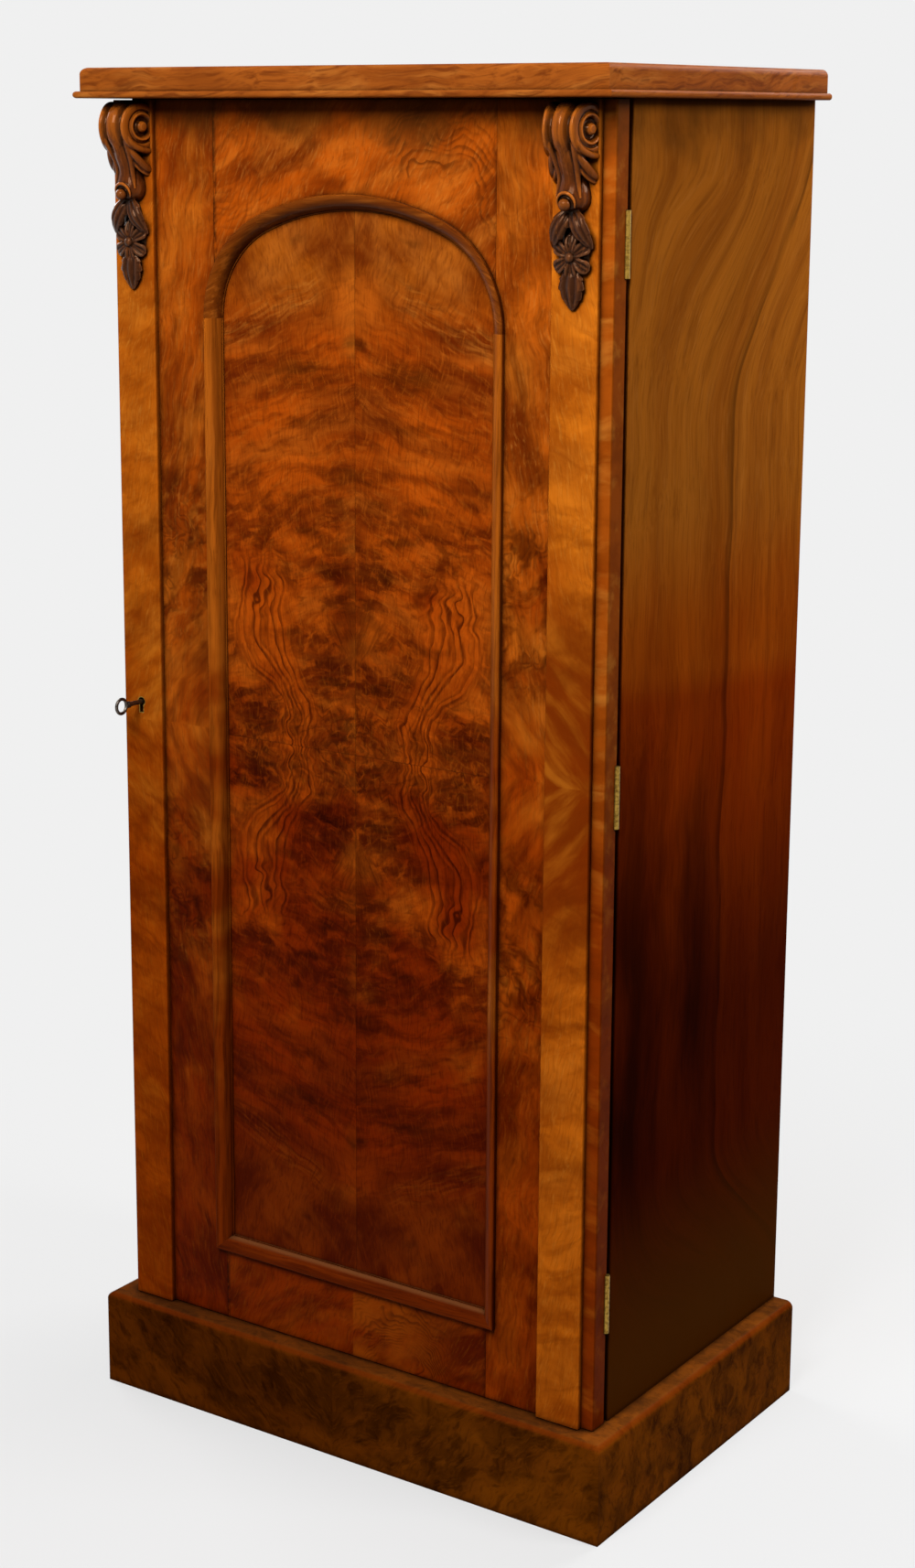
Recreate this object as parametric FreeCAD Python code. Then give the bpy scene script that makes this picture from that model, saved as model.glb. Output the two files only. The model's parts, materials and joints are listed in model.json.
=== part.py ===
import FreeCAD, Part
import math
import os

# A narrow walnut cupboard on a plinth. Its whole front is one door with an arched panel, two
# pilasters and two carved corbels, hung on brass butts at its right edge.
# Millimetres. +X is to the right of someone facing the door, +Y goes to the back, +Z is up.
# The origin is on the floor, midway across the carcass and midway from the key to the back.

V = FreeCAD.Vector
ACROSS = V(1, 0, 0)
BACKWARD = V(0, 1, 0)
UP = V(0, 0, 1)
HANDS = {"left": -1, "right": 1}

# Carcass
carcass_w = 612.0  # over the outsides of the sides
carcass_h = 1341.0  # from the plinth's top to the bead under the top
carcass_d = 373.0  # from the back to the sides' front edges
side_t = 18.0
side_arris = 1.5
base_t = 18.0
dust_board_t = 16.0
housing = 6.0  # depth to which the bottom and the dust board are let into the sides
lipping_t = 7.5  # hanging strip on each side's front edge
lipping_inset = 5.5  # shadow line from a side's outside to its strip

# Boarded back
back_t = 10.0
back_rebate = 9.0
back_board_count = 4
back_tongue = 6.0
back_tongue_t = 4.0
back_joint = 0.6  # open line between neighbouring boards

# Shelves
shelf_names = ("lower", "middle", "upper")
shelf_t = 15.0
shelf_setback = 22.0  # from the hanging strips' front to a shelf's front edge
shelf_fit = 0.5
bearer_w = 18.0
bearer_h = 20.0
bearer_setback = 12.0

# Plinth
plinth_step = 24.0  # plinth's outside beyond a carcass side
plinth_front_step = 20.0  # plinth's face in front of the pilasters
plinth_h = 110.0
plinth_t = 34.0
plinth_arris = 8.0
plinth_back_t = 20.0
plinth_bearer_w = 34.0
plinth_bearer_h = 40.0
glue_block = 45.0
glue_block_lift = 6.0

# Top and the bead under its edge
top_t = 24.0
top_side_overhang = 13.5  # board's edge beyond a carcass side
top_front_overhang = 31.0  # board's edge in front of the pilasters
top_arris = 7.0
bead_t = 7.0
bead_out = 5.5  # nose beyond the board's edge
bead_round_share = 0.45  # of the bead's thickness
bead_landing = 24.0  # how far the front bead runs back over the carcass
packing_w = 40.0

# Door frame and panel
door_lap = 2.0  # lock edge beyond the carcass's left side
door_gap = 1.0  # from the hanging strips to the door's back
door_clear = 1.5  # above the plinth and below the bead
door_t = 22.0
door_arris = 2.5
stile_w = 132.0  # from the carcass's outside to the panel's opening
tenon_t = 8.0
tenon_l = 40.0
tenon_fit = 0.2
tenon_shoulder = 22.0
haunch_shoulder = 62.0  # from the springing to the top rail's tenon
panel_t = 10.0
panel_set = 8.0  # panel's face behind the frame's face
panel_tongue = 8.0
groove_room = 1.0

# Panel moulding: an ovolo that falls from an arris on the frame to a quirk on the panel
moulding_w = 16.5
moulding_lap = 11.0  # of its width on the frame
moulding_rise = 6.0  # arris in front of the frame
moulding_arris = 1.0
moulding_flat = 2.0  # from the ovolo to the outer edge
moulding_quirk = 1.2
moulding_quirk_rise = 1.5  # in front of the panel
moulding_swell = 3.5  # ovolo in front of its chord
arch_foot_up = 80.5  # moulding's bottom edge above the door's
arch_head_down = 91.5  # moulding's crown below the door's top edge
haunch_share = 0.62  # haunch's radius, of half the moulding's width
crown_lift_share = 0.08  # crown above the tops of the two haunch circles, of half that width

# Pilasters
pilaster_w = 52.0
pilaster_t = 6.5
pilaster_arris = 2.0
pilaster_margin = {"left": 6.0, "right": 14.0}  # from the door's edge

# Corbels: a scroll on a tapering block, fluted in front, whose neck ends in a small volute
corbel_w = 50.0  # against the pilaster
scroll_r = 26.5
scroll_eye_out = 10.0  # scroll's centre in front of the pilaster
scroll_face_w = 34.0  # across the scroll's front
volute_r = 11.0
volute_out = 13.0
volute_drop = 66.5  # from the scroll's centre down to the volute's
volute_w = 34.0
neck_r = 30.0
neck_face_w = 31.0
neck_out = 15.0  # neck's front edges in front of the pilaster
lobe_h = 77.0  # from the corbel's top down to the foot of its flanks
flute_r = 4.5
flute_lift = 1.5  # flute cutter's centre in front of the face
flute_off = 10.5
flank_ring_shares = ((0.76, 0.58), (0.4, 0.22))  # of the scroll's radius, outside and inside
flank_ring_depth = 2.5
bud_r = 5.5
bud_out = 4.0  # bud's centre in front of the volute's
bud_down = 2.5
hood_r = 8.5
hood_out = 8.0  # centre of the hollow round the bud, in front of the volute's

# Corbels: the drop of two leaves, a flower and a pointed leaf
leaf_l = 37.0
leaf_hw = 9.5
leaf_t = 8.5
leaf_edge_share = 0.35  # of a leaf's thickness, left at its edge
leaf_spread_deg = 27.0
leaf_off = 4.5
petal_count = 6
petal_l = 22.5
petal_hw = 9.0
petal_t = 7.0
flower_drop = 41.0  # from the scroll's foot to the flower's centre
boss_r = 5.5
boss_out = 6.0
tip_leaf_l = 42.0
tip_leaf_hw = 14.0
tip_leaf_t = 6.0
tip_leaf_drop = 49.0

# Butt hinges
hinge_names = ("bottom", "middle", "top")
hinge_l = 63.5
hinge_end = 133.0  # from the door's end to the middle of the outer hinges
leaf_w = 17.0
leaf_plate_t = 2.0
knuckle_r = 3.4
knuckle_count = 5
knuckle_gap = 0.25
knuckle_clear = 0.5  # around the knuckles in the wood and in the other leaf
pin_r = 1.6
pin_fit = 0.05
hinge_screw_shares = (-0.33, 0.0, 0.33)  # of the hinge's length
hinge_screw_in_share = 0.62  # of the leaf's width

# Wood screws
screw_r = 1.7
screw_head_r = 3.3
screw_head_h = 1.5
screw_l = 15.0

# Key and keyhole
key_backset = 29.4  # from the door's lock edge
key_up = 697.8  # above the door's bottom edge
key_stand = 43.0  # bow's end in front of the pilaster
key_shank_r = 2.6
key_fit = 0.1
key_bow_r = 9.75
key_bow_wire_r = 1.8
key_collar_r = 3.6
key_collar_l = 3.0
key_bit_r = 9.5
key_bit_t = 2.4
keyhole_r = 4.6
keyhole_slot_w = 4.8
keyhole_drop = 12.0  # from the key's axis to the slot's end
escutcheon_wall = 0.8
escutcheon_t = 3.0

# Lock: the case is let into the door, and two staples on the carcass enter it
lock_edge = 4.5  # from the door's lock edge to the case
lock_w = 41.0
lock_hh = 42.0  # half the case's height
lock_wall = 1.5
lock_plate_t = 2.0
lock_plate_end = 10.0  # plate beyond the case, for its screw
lock_depth = 10.0  # case behind its plate
bolt_t = 2.5
bolt_fit = 0.3
bolt_travel = 8.0
bolt_tail_gap = 2.3  # from the key's shank to the bolt's edge
talon_clear = 0.7
talon_below = 9.5
talon_above = 6.0
finger_w = 4.0
finger_t = 2.6
finger_gap = 1.0  # below its staple when the bolt is withdrawn
lug_h = 3.4
link_t = 1.5
link_w = 10.5
link_hh = 44.0
staple_off = 22.0  # from the key's axis, up and down
staple_t = 3.0
staple_w = 9.0
staple_reach = 8.2
staple_hole_fit = 0.7
staple_slot_fit = 1.2

# Making
overrun = 5.0
same = 0.001
quarter_deg = 90.0
half_deg = 2 * quarter_deg
turn_deg = 2 * half_deg

# Planes and lines that several pieces share
pilaster_face_d = carcass_d + lipping_t + door_gap + door_t + pilaster_t
back_y = (pilaster_face_d + key_stand) / 2
side_front = back_y - carcass_d
lipping_front = side_front - lipping_t
door_back = lipping_front - door_gap
door_face = door_back - door_t
pilaster_face = door_face - pilaster_t
panel_face = door_face + panel_set
plinth_face = pilaster_face - plinth_front_step
plinth_inner = plinth_face + plinth_t
back_face = back_y - back_t

foot = plinth_h
head = plinth_h + carcass_h
door_foot = foot + door_clear
door_head = head - door_clear
outer_x = carcass_w / 2
inner_x = outer_x - side_t
plinth_x = outer_x + plinth_step
door_left = -outer_x - door_lap
door_right = outer_x

opening_hw = outer_x - stile_w
arch_hw = opening_hw + moulding_lap
sight_hw = arch_hw - moulding_w
arch_foot = door_foot + arch_foot_up
haunch_r = arch_hw * haunch_share
crown_lift = arch_hw * crown_lift_share
spring = door_head - arch_head_down - crown_lift - haunch_r
haunch_x = arch_hw - haunch_r
crown_below = (haunch_x**2 - crown_lift**2) / (2 * crown_lift)
crown_r = haunch_r + crown_lift + crown_below
crown_half_deg = math.degrees(math.atan2(haunch_x, crown_below))

hinge_x = door_right
hinge_y = (lipping_front + door_back) / 2
hinge_heights = (door_foot + hinge_end, (door_foot + door_head) / 2, door_head - hinge_end)
key_x = door_left + key_backset
key_z = door_foot + key_up

lock_left = door_left + lock_edge
lock_plate_front = door_back - lock_plate_t
lock_front = lock_plate_front - lock_depth
bolt_front = lock_front + lock_wall + bolt_fit
bolt_back = bolt_front + bolt_t
staple_x = -(inner_x + outer_x - lipping_inset) / 2
staple_end = lipping_front - staple_reach
finger_y = (staple_end + lock_plate_front) / 2
scroll_foot_h = scroll_r + volute_drop + volute_r


# Helpers

def box(xs, ys, zs):
    low = V(min(xs), min(ys), min(zs))
    return Part.makeBox(max(xs) - low.x, max(ys) - low.y, max(zs) - low.z, low)


def prism(points, along):
    return Part.Face(Part.makePolygon(points + points[:1])).extrude(along)


def near(a, b):
    return abs(a - b) < same


def rounded(solid, radius, picks):
    """The solid with the edges rounded whose middles the test picks."""
    return solid.makeFillet(radius, [e for e in solid.Edges if picks(e.CenterOfMass)])


def one(solid):
    """A fused shape with its split faces joined again."""
    return solid.removeSplitter()


def screw(x, z, face, way):
    """A countersunk screw driven along Y from a face; way is 1 to the back and -1 to the front."""
    along = BACKWARD * way
    cone = Part.makeCone(screw_head_r, screw_r, screw_head_h, V(x, face, z), along)
    neck = V(x, face + way * screw_head_h, z)
    return one(cone.fuse(Part.makeCylinder(screw_r, screw_l - screw_head_h, neck, along)))


# Plinth

def plinth_front():
    board = prism([V(-plinth_x, plinth_face, 0), V(plinth_x, plinth_face, 0),
                   V(plinth_x - plinth_t, plinth_inner, 0),
                   V(-plinth_x + plinth_t, plinth_inner, 0)], UP * plinth_h)
    return rounded(board, plinth_arris, lambda c: near(c.y, plinth_face) and near(c.z, plinth_h))


def plinth_side(hand):
    board = prism([V(hand * plinth_x, plinth_face, 0), V(hand * plinth_x, back_y, 0),
                   V(hand * (plinth_x - plinth_t), back_y, 0),
                   V(hand * (plinth_x - plinth_t), plinth_inner, 0)], UP * plinth_h)
    return rounded(board, plinth_arris,
                   lambda c: near(c.x, hand * plinth_x) and near(c.z, plinth_h))


def plinth_back():
    inside = plinth_x - plinth_t
    return box((-inside, inside), (back_y - plinth_back_t, back_y), (0, plinth_h))


def plinth_bearer():
    inside = plinth_x - plinth_t
    return box((-inside, inside), (plinth_inner, plinth_inner + plinth_bearer_w),
               (plinth_h - plinth_bearer_h, plinth_h))


def plinth_glue_blocks():
    inside = plinth_x - plinth_t
    rise = UP * (plinth_h - plinth_bearer_h - glue_block_lift)
    blocks = []
    for hand in HANDS.values():
        for y, way in ((plinth_inner, 1), (back_y - plinth_back_t, -1)):
            corner = V(hand * inside, y, glue_block_lift)
            blocks.append(prism([corner, corner - ACROSS * hand * glue_block,
                                 corner + BACKWARD * way * glue_block], rise))
    return Part.makeCompound(blocks)


# Carcass

def side(hand):
    board = box((hand * inner_x, hand * outer_x), (side_front, back_y), (foot, head))
    board = rounded(board, side_arris, lambda c: near(c.x, hand * outer_x) and near(c.y, side_front))
    let_in = (hand * (inner_x - overrun), hand * (inner_x + housing))
    deep = (side_front, back_y + overrun)
    board = board.cut(box(let_in, deep, (foot - overrun, foot + base_t)))
    board = board.cut(box(let_in, deep, (head - dust_board_t, head + overrun)))
    rebate = (hand * (inner_x - overrun), hand * (inner_x + back_rebate))
    board = board.cut(box(rebate, (back_face, back_y + overrun), (foot - overrun, head + overrun)))
    return board.cut(carcass_screws(hand))


def carcass_screws(hand):
    return hinge_screws(1) if hand > 0 else link_plate_screws()


def cross_board(zs):
    """The bottom or the dust board: housed in the sides, with its front between the hanging strips."""
    board = box((-inner_x - housing, inner_x + housing), (side_front, back_face), zs)
    return one(board.fuse(box((-inner_x, inner_x), (lipping_front, side_front), zs)))


def lipping(hand):
    strip = box((hand * inner_x, hand * (outer_x - lipping_inset)),
                (lipping_front, side_front), (foot, head))
    if hand < 0:
        return strip.cut(link_blank()).cut(link_plate_screws())
    for z in hinge_heights:
        strip = strip.cut(leaf_blank(z, 1))
    return strip.cut(hinge_screws(1))


def back_board(index):
    """One upright board of the back, tongued into its right-hand neighbour."""
    width = 2 * (inner_x + back_rebate)
    pitch = width / back_board_count
    x0 = -width / 2 + index * pitch
    x1 = x0 + pitch
    mid = (back_face + back_y) / 2
    tongue = (mid - back_tongue_t / 2, mid + back_tongue_t / 2)
    last = index == back_board_count - 1
    board = box((x0, x1 if last else x1 - back_joint), (back_face, back_y), (foot, head))
    if not last:
        board = board.fuse(box((x1 - back_joint, x1 + back_tongue), tongue, (foot, head)))
    if index:
        slot = (x0 - overrun, x0 + back_tongue + back_joint)
        board = board.cut(box(slot, tongue, (foot - overrun, head + overrun)))
    return one(board)


def shelf_height(index):
    low = foot + base_t
    room = head - dust_board_t - low - len(shelf_names) * shelf_t
    bay = room / (len(shelf_names) + 1)
    return low + (index + 1) * bay + index * shelf_t


def shelf(index):
    z = shelf_height(index)
    half = inner_x - shelf_fit
    return box((-half, half), (lipping_front + shelf_setback, back_face), (z, z + shelf_t))


def shelf_bearers(hand):
    front = lipping_front + shelf_setback + bearer_setback
    strips = []
    for index in range(len(shelf_names)):
        z = shelf_height(index)
        strips.append(box((hand * inner_x, hand * (inner_x - bearer_w)), (front, back_face),
                          (z - bearer_h, z)))
    return Part.makeCompound(strips)


# Top

top_x = outer_x + top_side_overhang
top_front = pilaster_face - top_front_overhang
bead_x = top_x + bead_out
bead_front = top_front - bead_out
bead_w = bead_x - inner_x
bead_round = bead_t * bead_round_share


def top_board():
    zs = (head + bead_t, head + bead_t + top_t)
    board = box((-top_x, top_x), (top_front, back_y), zs)
    return rounded(board, top_arris, lambda c: near(c.z, zs[1]) and not near(c.y, back_y))


def top_bead_front():
    strip = prism([V(-bead_x, bead_front, head), V(bead_x, bead_front, head),
                   V(inner_x, bead_front + bead_w, head), V(inner_x, side_front + bead_landing, head),
                   V(-inner_x, side_front + bead_landing, head),
                   V(-inner_x, bead_front + bead_w, head)], UP * bead_t)
    return rounded(strip, bead_round, lambda c: near(c.y, bead_front) and near(c.x, 0))


def top_bead_side(hand):
    strip = prism([V(hand * bead_x, bead_front, head), V(hand * bead_x, back_y, head),
                   V(hand * inner_x, back_y, head), V(hand * inner_x, bead_front + bead_w, head)],
                  UP * bead_t)
    middle = (bead_front + back_y) / 2
    return rounded(strip, bead_round, lambda c: near(c.x, hand * bead_x) and near(c.y, middle))


def top_packing():
    return box((-inner_x, inner_x), (back_y - packing_w, back_y), (head, head + bead_t))


# Door frame

def on_circle(x, z, radius, degrees, y):
    turn = math.radians(degrees)
    return V(x + radius * math.cos(turn), y, z + radius * math.sin(turn))


def arc_edge(x, z, radius, start, end, y):
    spots = [on_circle(x, z, radius, d, y) for d in (start, (start + end) / 2, end)]
    return Part.Arc(*spots).toShape()


def arched(inset, ys):
    """A slab with the door panel's outline, inset from the moulding's outside."""
    y = min(ys)
    hw = arch_hw - inset
    low = arch_foot + inset
    crown = (quarter_deg - crown_half_deg, quarter_deg + crown_half_deg)
    edges = [
        Part.makeLine(V(-hw, y, low), V(hw, y, low)),
        Part.makeLine(V(hw, y, low), V(hw, y, spring)),
        arc_edge(haunch_x, spring, haunch_r - inset, 0, crown[0], y),
        arc_edge(0, spring - crown_below, crown_r - inset, crown[0], crown[1], y),
        arc_edge(-haunch_x, spring, haunch_r - inset, crown[1], half_deg, y),
        Part.makeLine(V(-hw, y, spring), V(-hw, y, low)),
    ]
    return Part.Face(Part.Wire(edges)).extrude(BACKWARD * (max(ys) - y))


def door_panel():
    return arched(moulding_lap - panel_tongue, (panel_face, panel_face + panel_t))


def panel_groove():
    return arched(moulding_lap - panel_tongue - groove_room, (panel_face, panel_face + panel_t))


def door_opening():
    return arched(moulding_lap, (door_face - overrun, door_back + overrun))


def tenon_ys():
    middle = (door_face + door_back) / 2
    return middle - tenon_t / 2, middle + tenon_t / 2


def rail_tenons(fit):
    """The four tenons of the rails; fit is the room left around them in the stiles."""
    front, back = tenon_ys()
    heights = ((door_foot + tenon_shoulder, arch_foot + moulding_lap - tenon_shoulder),
               (spring + haunch_shoulder, door_head - tenon_shoulder))
    reach = opening_hw + tenon_l + fit
    return [box((hand * opening_hw, hand * reach), (front, back), (z0 - fit, z1 + fit))
            for hand in HANDS.values() for z0, z1 in heights]


def stile(x0, x1):
    board = box((x0, x1), (door_face, door_back), (door_foot, door_head))
    outer = max((x0, x1), key=abs)
    board = rounded(board, door_arris, lambda c: near(c.x, outer) and near(c.y, door_face))
    return board.cut(rail_tenons(tenon_fit)).cut(panel_groove())


def lock_stile():
    board = stile(door_left, -opening_hw)
    board = board.cut([lock_block(), lock_plate_blank(), lock_screws()])
    return board.cut(keyhole(keyhole_r, keyhole_slot_w, keyhole_drop, (door_face, lock_front)))


def hinge_stile():
    board = stile(opening_hw, door_right)
    for z in hinge_heights:
        board = board.cut([leaf_blank(z, -1), knuckle_room(z)])
    return board.cut(hinge_screws(-1))


def top_rail():
    board = box((-opening_hw, opening_hw), (door_face, door_back), (spring, door_head))
    tenons = [t for t in rail_tenons(0) if t.CenterOfMass.z > spring]
    return one(board.fuse(tenons)).cut([door_opening(), panel_groove()])


def bottom_rail():
    board = box((-opening_hw, opening_hw), (door_face, door_back),
                (door_foot, arch_foot + moulding_lap))
    tenons = [t for t in rail_tenons(0) if t.CenterOfMass.z < spring]
    return one(board.fuse(tenons)).cut(panel_groove())


# Panel moulding

def moulding_section(place):
    """The moulding's section; place turns an outward and a forward distance into a point."""
    step = moulding_w - moulding_lap
    start = (moulding_quirk, moulding_quirk_rise - panel_set)
    end = (moulding_w - moulding_flat, moulding_rise)
    run, climb = end[0] - start[0], end[1] - start[1]
    swell = moulding_swell / math.hypot(run, climb)
    crest = ((start[0] + end[0]) / 2 - climb * swell, (start[1] + end[1]) / 2 + run * swell)
    flat = [end, (moulding_w - moulding_arris, moulding_rise), (moulding_w, moulding_rise - moulding_arris),
            (moulding_w, 0), (step, 0), (step, -panel_set), (0, -panel_set), (0, start[1]), start]
    spots = [place(*p) for p in flat]
    edges = [Part.makeLine(a, b) for a, b in zip(spots, spots[1:])]
    edges.append(Part.Arc(place(*start), place(*crest), place(*end)).toShape())
    return Part.Face(Part.Wire(Part.__sortEdges__(edges)))


def mitre(hand, inner):
    """Cutter on one side of a bottom corner's mitre: towards the foot's middle, or outwards and up."""
    corner = V(hand * arch_hw, door_face - 2 * moulding_rise, arch_foot)
    reach = 2 * moulding_w
    spots = [V(hand * overrun, 0, -overrun), V(-hand * reach, 0, reach)]
    spots.append(V(-hand * reach, 0, -overrun) if inner else V(hand * overrun, 0, reach))
    return prism([corner + spot for spot in spots], BACKWARD * 4 * moulding_rise)


def moulding_side(hand):
    face = moulding_section(lambda out, up: V(hand * (sight_hw + out), door_face - up, arch_foot))
    return face.extrude(UP * (spring - arch_foot)).cut(mitre(hand, True))


def moulding_bottom():
    inner = arch_foot + moulding_w
    face = moulding_section(lambda out, up: V(-arch_hw, door_face - up, inner - out))
    bar = face.extrude(ACROSS * 2 * arch_hw)
    return bar.cut([mitre(1, False), mitre(-1, False)])


def moulding_arc(x, z, outer_r, start, sweep):
    """A bent length of the moulding, from a start angle seen from the front, anticlockwise."""
    turn = math.radians(start)
    out = V(math.cos(turn), 0, math.sin(turn))
    centre = V(x, door_face, z)
    inner_r = outer_r - moulding_w
    face = moulding_section(lambda wide, up: centre + out * (inner_r + wide) - BACKWARD * up)
    return face.revolve(centre, -BACKWARD, sweep)


def moulding_haunch(hand):
    sweep = quarter_deg - crown_half_deg
    start = 0 if hand > 0 else quarter_deg + crown_half_deg
    return moulding_arc(hand * haunch_x, spring, haunch_r, start, sweep)


def moulding_crown():
    start = quarter_deg - crown_half_deg
    return moulding_arc(0, spring - crown_below, crown_r, start, 2 * crown_half_deg)


# Pilasters and corbels

def pilaster_edges(side_name):
    if side_name == "left":
        start = door_left + pilaster_margin["left"]
    else:
        start = door_right - pilaster_margin["right"] - pilaster_w
    return start, start + pilaster_w


def pilaster(side_name):
    x0, x1 = pilaster_edges(side_name)
    board = box((x0, x1), (pilaster_face, door_face), (door_foot, door_head))
    board = rounded(board, pilaster_arris,
                    lambda c: near(c.y, pilaster_face) and not near(c.x, (x0 + x1) / 2))
    if side_name == "left":
        board = board.cut(escutcheon_blank())
        board = board.cut(keyhole(keyhole_r, keyhole_slot_w, keyhole_drop, (pilaster_face, door_face)))
    return board


def outward(degrees):
    """Unit vector at an angle below straight forward, in a corbel's upright middle plane."""
    turn = math.radians(degrees)
    return V(0, -math.cos(turn), -math.sin(turn))


def angle_of(way):
    return math.degrees(math.atan2(-way.z, -way.y))


def scroll_arcs(x):
    """The scroll's, neck's and volute's circles as (centre, radius, start, sweep) of their face arcs."""
    top = V(x, pilaster_face - scroll_eye_out, door_head - scroll_r)
    low = V(x, pilaster_face - volute_out, top.z - volute_drop)
    to_low = low - top
    gap = to_low.Length
    far, close = scroll_r + neck_r, volute_r + neck_r
    along = (far**2 - close**2 + gap**2) / (2 * gap)
    unit = to_low / gap
    neck = top + unit * along + unit.cross(ACROSS) * math.sqrt(far**2 - along**2)
    to_neck, from_volute = angle_of(neck - top), angle_of(neck - low)
    start, end = angle_of(low - neck), angle_of(top - neck) % turn_deg
    return [(top, scroll_r, -quarter_deg, to_neck + quarter_deg), (neck, neck_r, start, end - start),
            (low, volute_r, from_volute, quarter_deg - from_volute)]


def face_arc(centre, radius, start, sweep):
    spots = [centre + outward(start + sweep * share) * radius for share in (0, 0.5, 1)]
    return Part.Arc(*spots).toShape()


def scroll_profile(x):
    """Side view of the scroll as a face in the plane through x."""
    arcs = [face_arc(*arc) for arc in scroll_arcs(x)]
    top, foot_z = V(x, pilaster_face, door_head), door_head - scroll_foot_h
    heel = V(x, pilaster_face, foot_z)
    lines = [Part.makeLine(top, V(x, pilaster_face - scroll_eye_out, door_head)),
             Part.makeLine(V(x, pilaster_face - volute_out, foot_z), heel),
             Part.makeLine(heel, top)]
    return Part.Face(Part.Wire(Part.__sortEdges__(arcs + lines)))


def flank_block(x, face_w, depth, heights):
    """A block as wide as the corbel at the pilaster that tapers to its face's width at a depth."""
    plan = ((corbel_w, 0), (face_w, depth), (face_w, scroll_eye_out + scroll_r + overrun))
    z = door_head - max(heights)
    right = [V(x + w / 2, pilaster_face - out, z) for w, out in plan]
    left = [V(x - w / 2, pilaster_face - out, z) for w, out in reversed(plan)]
    return prism(right + left, UP * (max(heights) - min(heights)))


def scroll_blank(x):
    """The scroll's side view carried across the corbel and cut to its flanks."""
    bar = scroll_profile(x - corbel_w / 2).extrude(ACROSS * corbel_w)
    waist = 2 * scroll_r
    parts = [flank_block(x, scroll_face_w, scroll_eye_out + scroll_r, (0, waist)),
             flank_block(x, neck_face_w, neck_out, (waist, lobe_h)),
             box((x - volute_w / 2, x + volute_w / 2), (pilaster_face, pilaster_face - corbel_w),
                 (door_head - lobe_h, door_head - scroll_foot_h))]
    return one(bar.common(parts[0]).fuse([bar.common(part) for part in parts[1:]]))


def turned(centre, radius, start, sweep, tool_r):
    """A round bar bent about the X axis through a centre."""
    section = Part.makeCircle(tool_r, centre + outward(start) * radius, outward(start).cross(ACROSS))
    return Part.Face(Part.Wire(section)).revolve(centre, ACROSS, sweep)


def flutes(x):
    """Cutters for the two flutes that run down the scroll's face into the neck."""
    (top, r0, a0, s0), (neck, r1, a1, s1), _ = scroll_arcs(x)
    cutters = []
    for hand in HANDS.values():
        shift = ACROSS * hand * flute_off
        cutters.append(turned(top + shift, r0 + flute_lift, a0, s0, flute_r))
        cutters.append(turned(neck + shift, r1 - flute_lift, a1, s1, flute_r))
    return cutters


def flank_rings(x):
    """Cutters for the ring grooves round the scroll's eye, square to both flanks."""
    slope = (corbel_w - scroll_face_w) / (2 * (scroll_eye_out + scroll_r))
    eye = scroll_arcs(x)[0][0]
    cutters = []
    for hand in HANDS.values():
        out = V(hand, -slope, 0).normalize()
        start = eye + ACROSS * hand * (corbel_w / 2 - slope * scroll_eye_out) - out * flank_ring_depth
        for shares in flank_ring_shares:
            outer, inner = (Part.makeCylinder(scroll_r * share, flank_ring_depth + overrun, start, out)
                            for share in shares)
            cutters.append(outer.cut(inner))
    return cutters


def corbel_scroll(x):
    low = scroll_arcs(x)[2][0] - UP * bud_down
    hollow = Part.makeSphere(hood_r, low + outward(0) * hood_out)
    body = scroll_blank(x).cut(flutes(x) + flank_rings(x) + [hollow])
    return one(body.fuse(Part.makeSphere(bud_r, low + outward(0) * bud_out)))


def carved_leaf(root, length, half, thick, degrees):
    """A pointed leaf lying on the pilaster, with a rounded face, hung from its root at an angle."""
    tip = root - UP * length
    edges = []
    for hand in HANDS.values():
        belly = root + V(hand * half, 0, -length / 2)
        edges.append(Part.Arc(root, belly, tip).toShape())
    blank = Part.Face(Part.Wire(edges)).extrude(BACKWARD * -thick)
    fall = thick * (1 - leaf_edge_share)
    barrel_r = (half**2 + fall**2) / (2 * fall)
    barrel = Part.makeCylinder(barrel_r, length + 2 * overrun,
                               tip + BACKWARD * (barrel_r - thick) - UP * overrun, UP)
    leaf = blank.common(barrel)
    leaf.rotate(root, BACKWARD, degrees)
    return leaf


def corbel_drop(x):
    top = V(x, pilaster_face, door_head - scroll_foot_h)
    flower = top - UP * flower_drop
    pieces = [carved_leaf(top + ACROSS * hand * leaf_off, leaf_l, leaf_hw, leaf_t, -hand * leaf_spread_deg)
              for hand in HANDS.values()]
    pieces += [carved_leaf(flower, petal_l, petal_hw, petal_t, turn * turn_deg / petal_count)
               for turn in range(petal_count)]
    pieces.append(carved_leaf(top - UP * tip_leaf_drop, tip_leaf_l, tip_leaf_hw, tip_leaf_t, 0))
    boss = Part.makeSphere(boss_r, flower - BACKWARD * boss_out)
    return one(boss.fuse(pieces))


# Hinges

def leaf_blank(z, way):
    """The flat of a hinge leaf; way is 1 on the carcass and -1 on the door."""
    face = lipping_front if way > 0 else door_back
    return box((hinge_x - leaf_w, hinge_x), (face, face + way * leaf_plate_t),
               (z - hinge_l / 2, z + hinge_l / 2))


def knuckle(z, index, radius, gap):
    length = hinge_l / knuckle_count
    low = z - hinge_l / 2 + index * length
    start = low + (gap if index else 0)
    end = low + length - (gap if index < knuckle_count - 1 else 0)
    return Part.makeCylinder(radius, end - start, V(hinge_x, hinge_y, start), UP)


def knuckle_room(z):
    low = V(hinge_x, hinge_y, z - hinge_l / 2 - knuckle_clear)
    return Part.makeCylinder(knuckle_r + knuckle_clear, hinge_l + 2 * knuckle_clear, low, UP)


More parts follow.
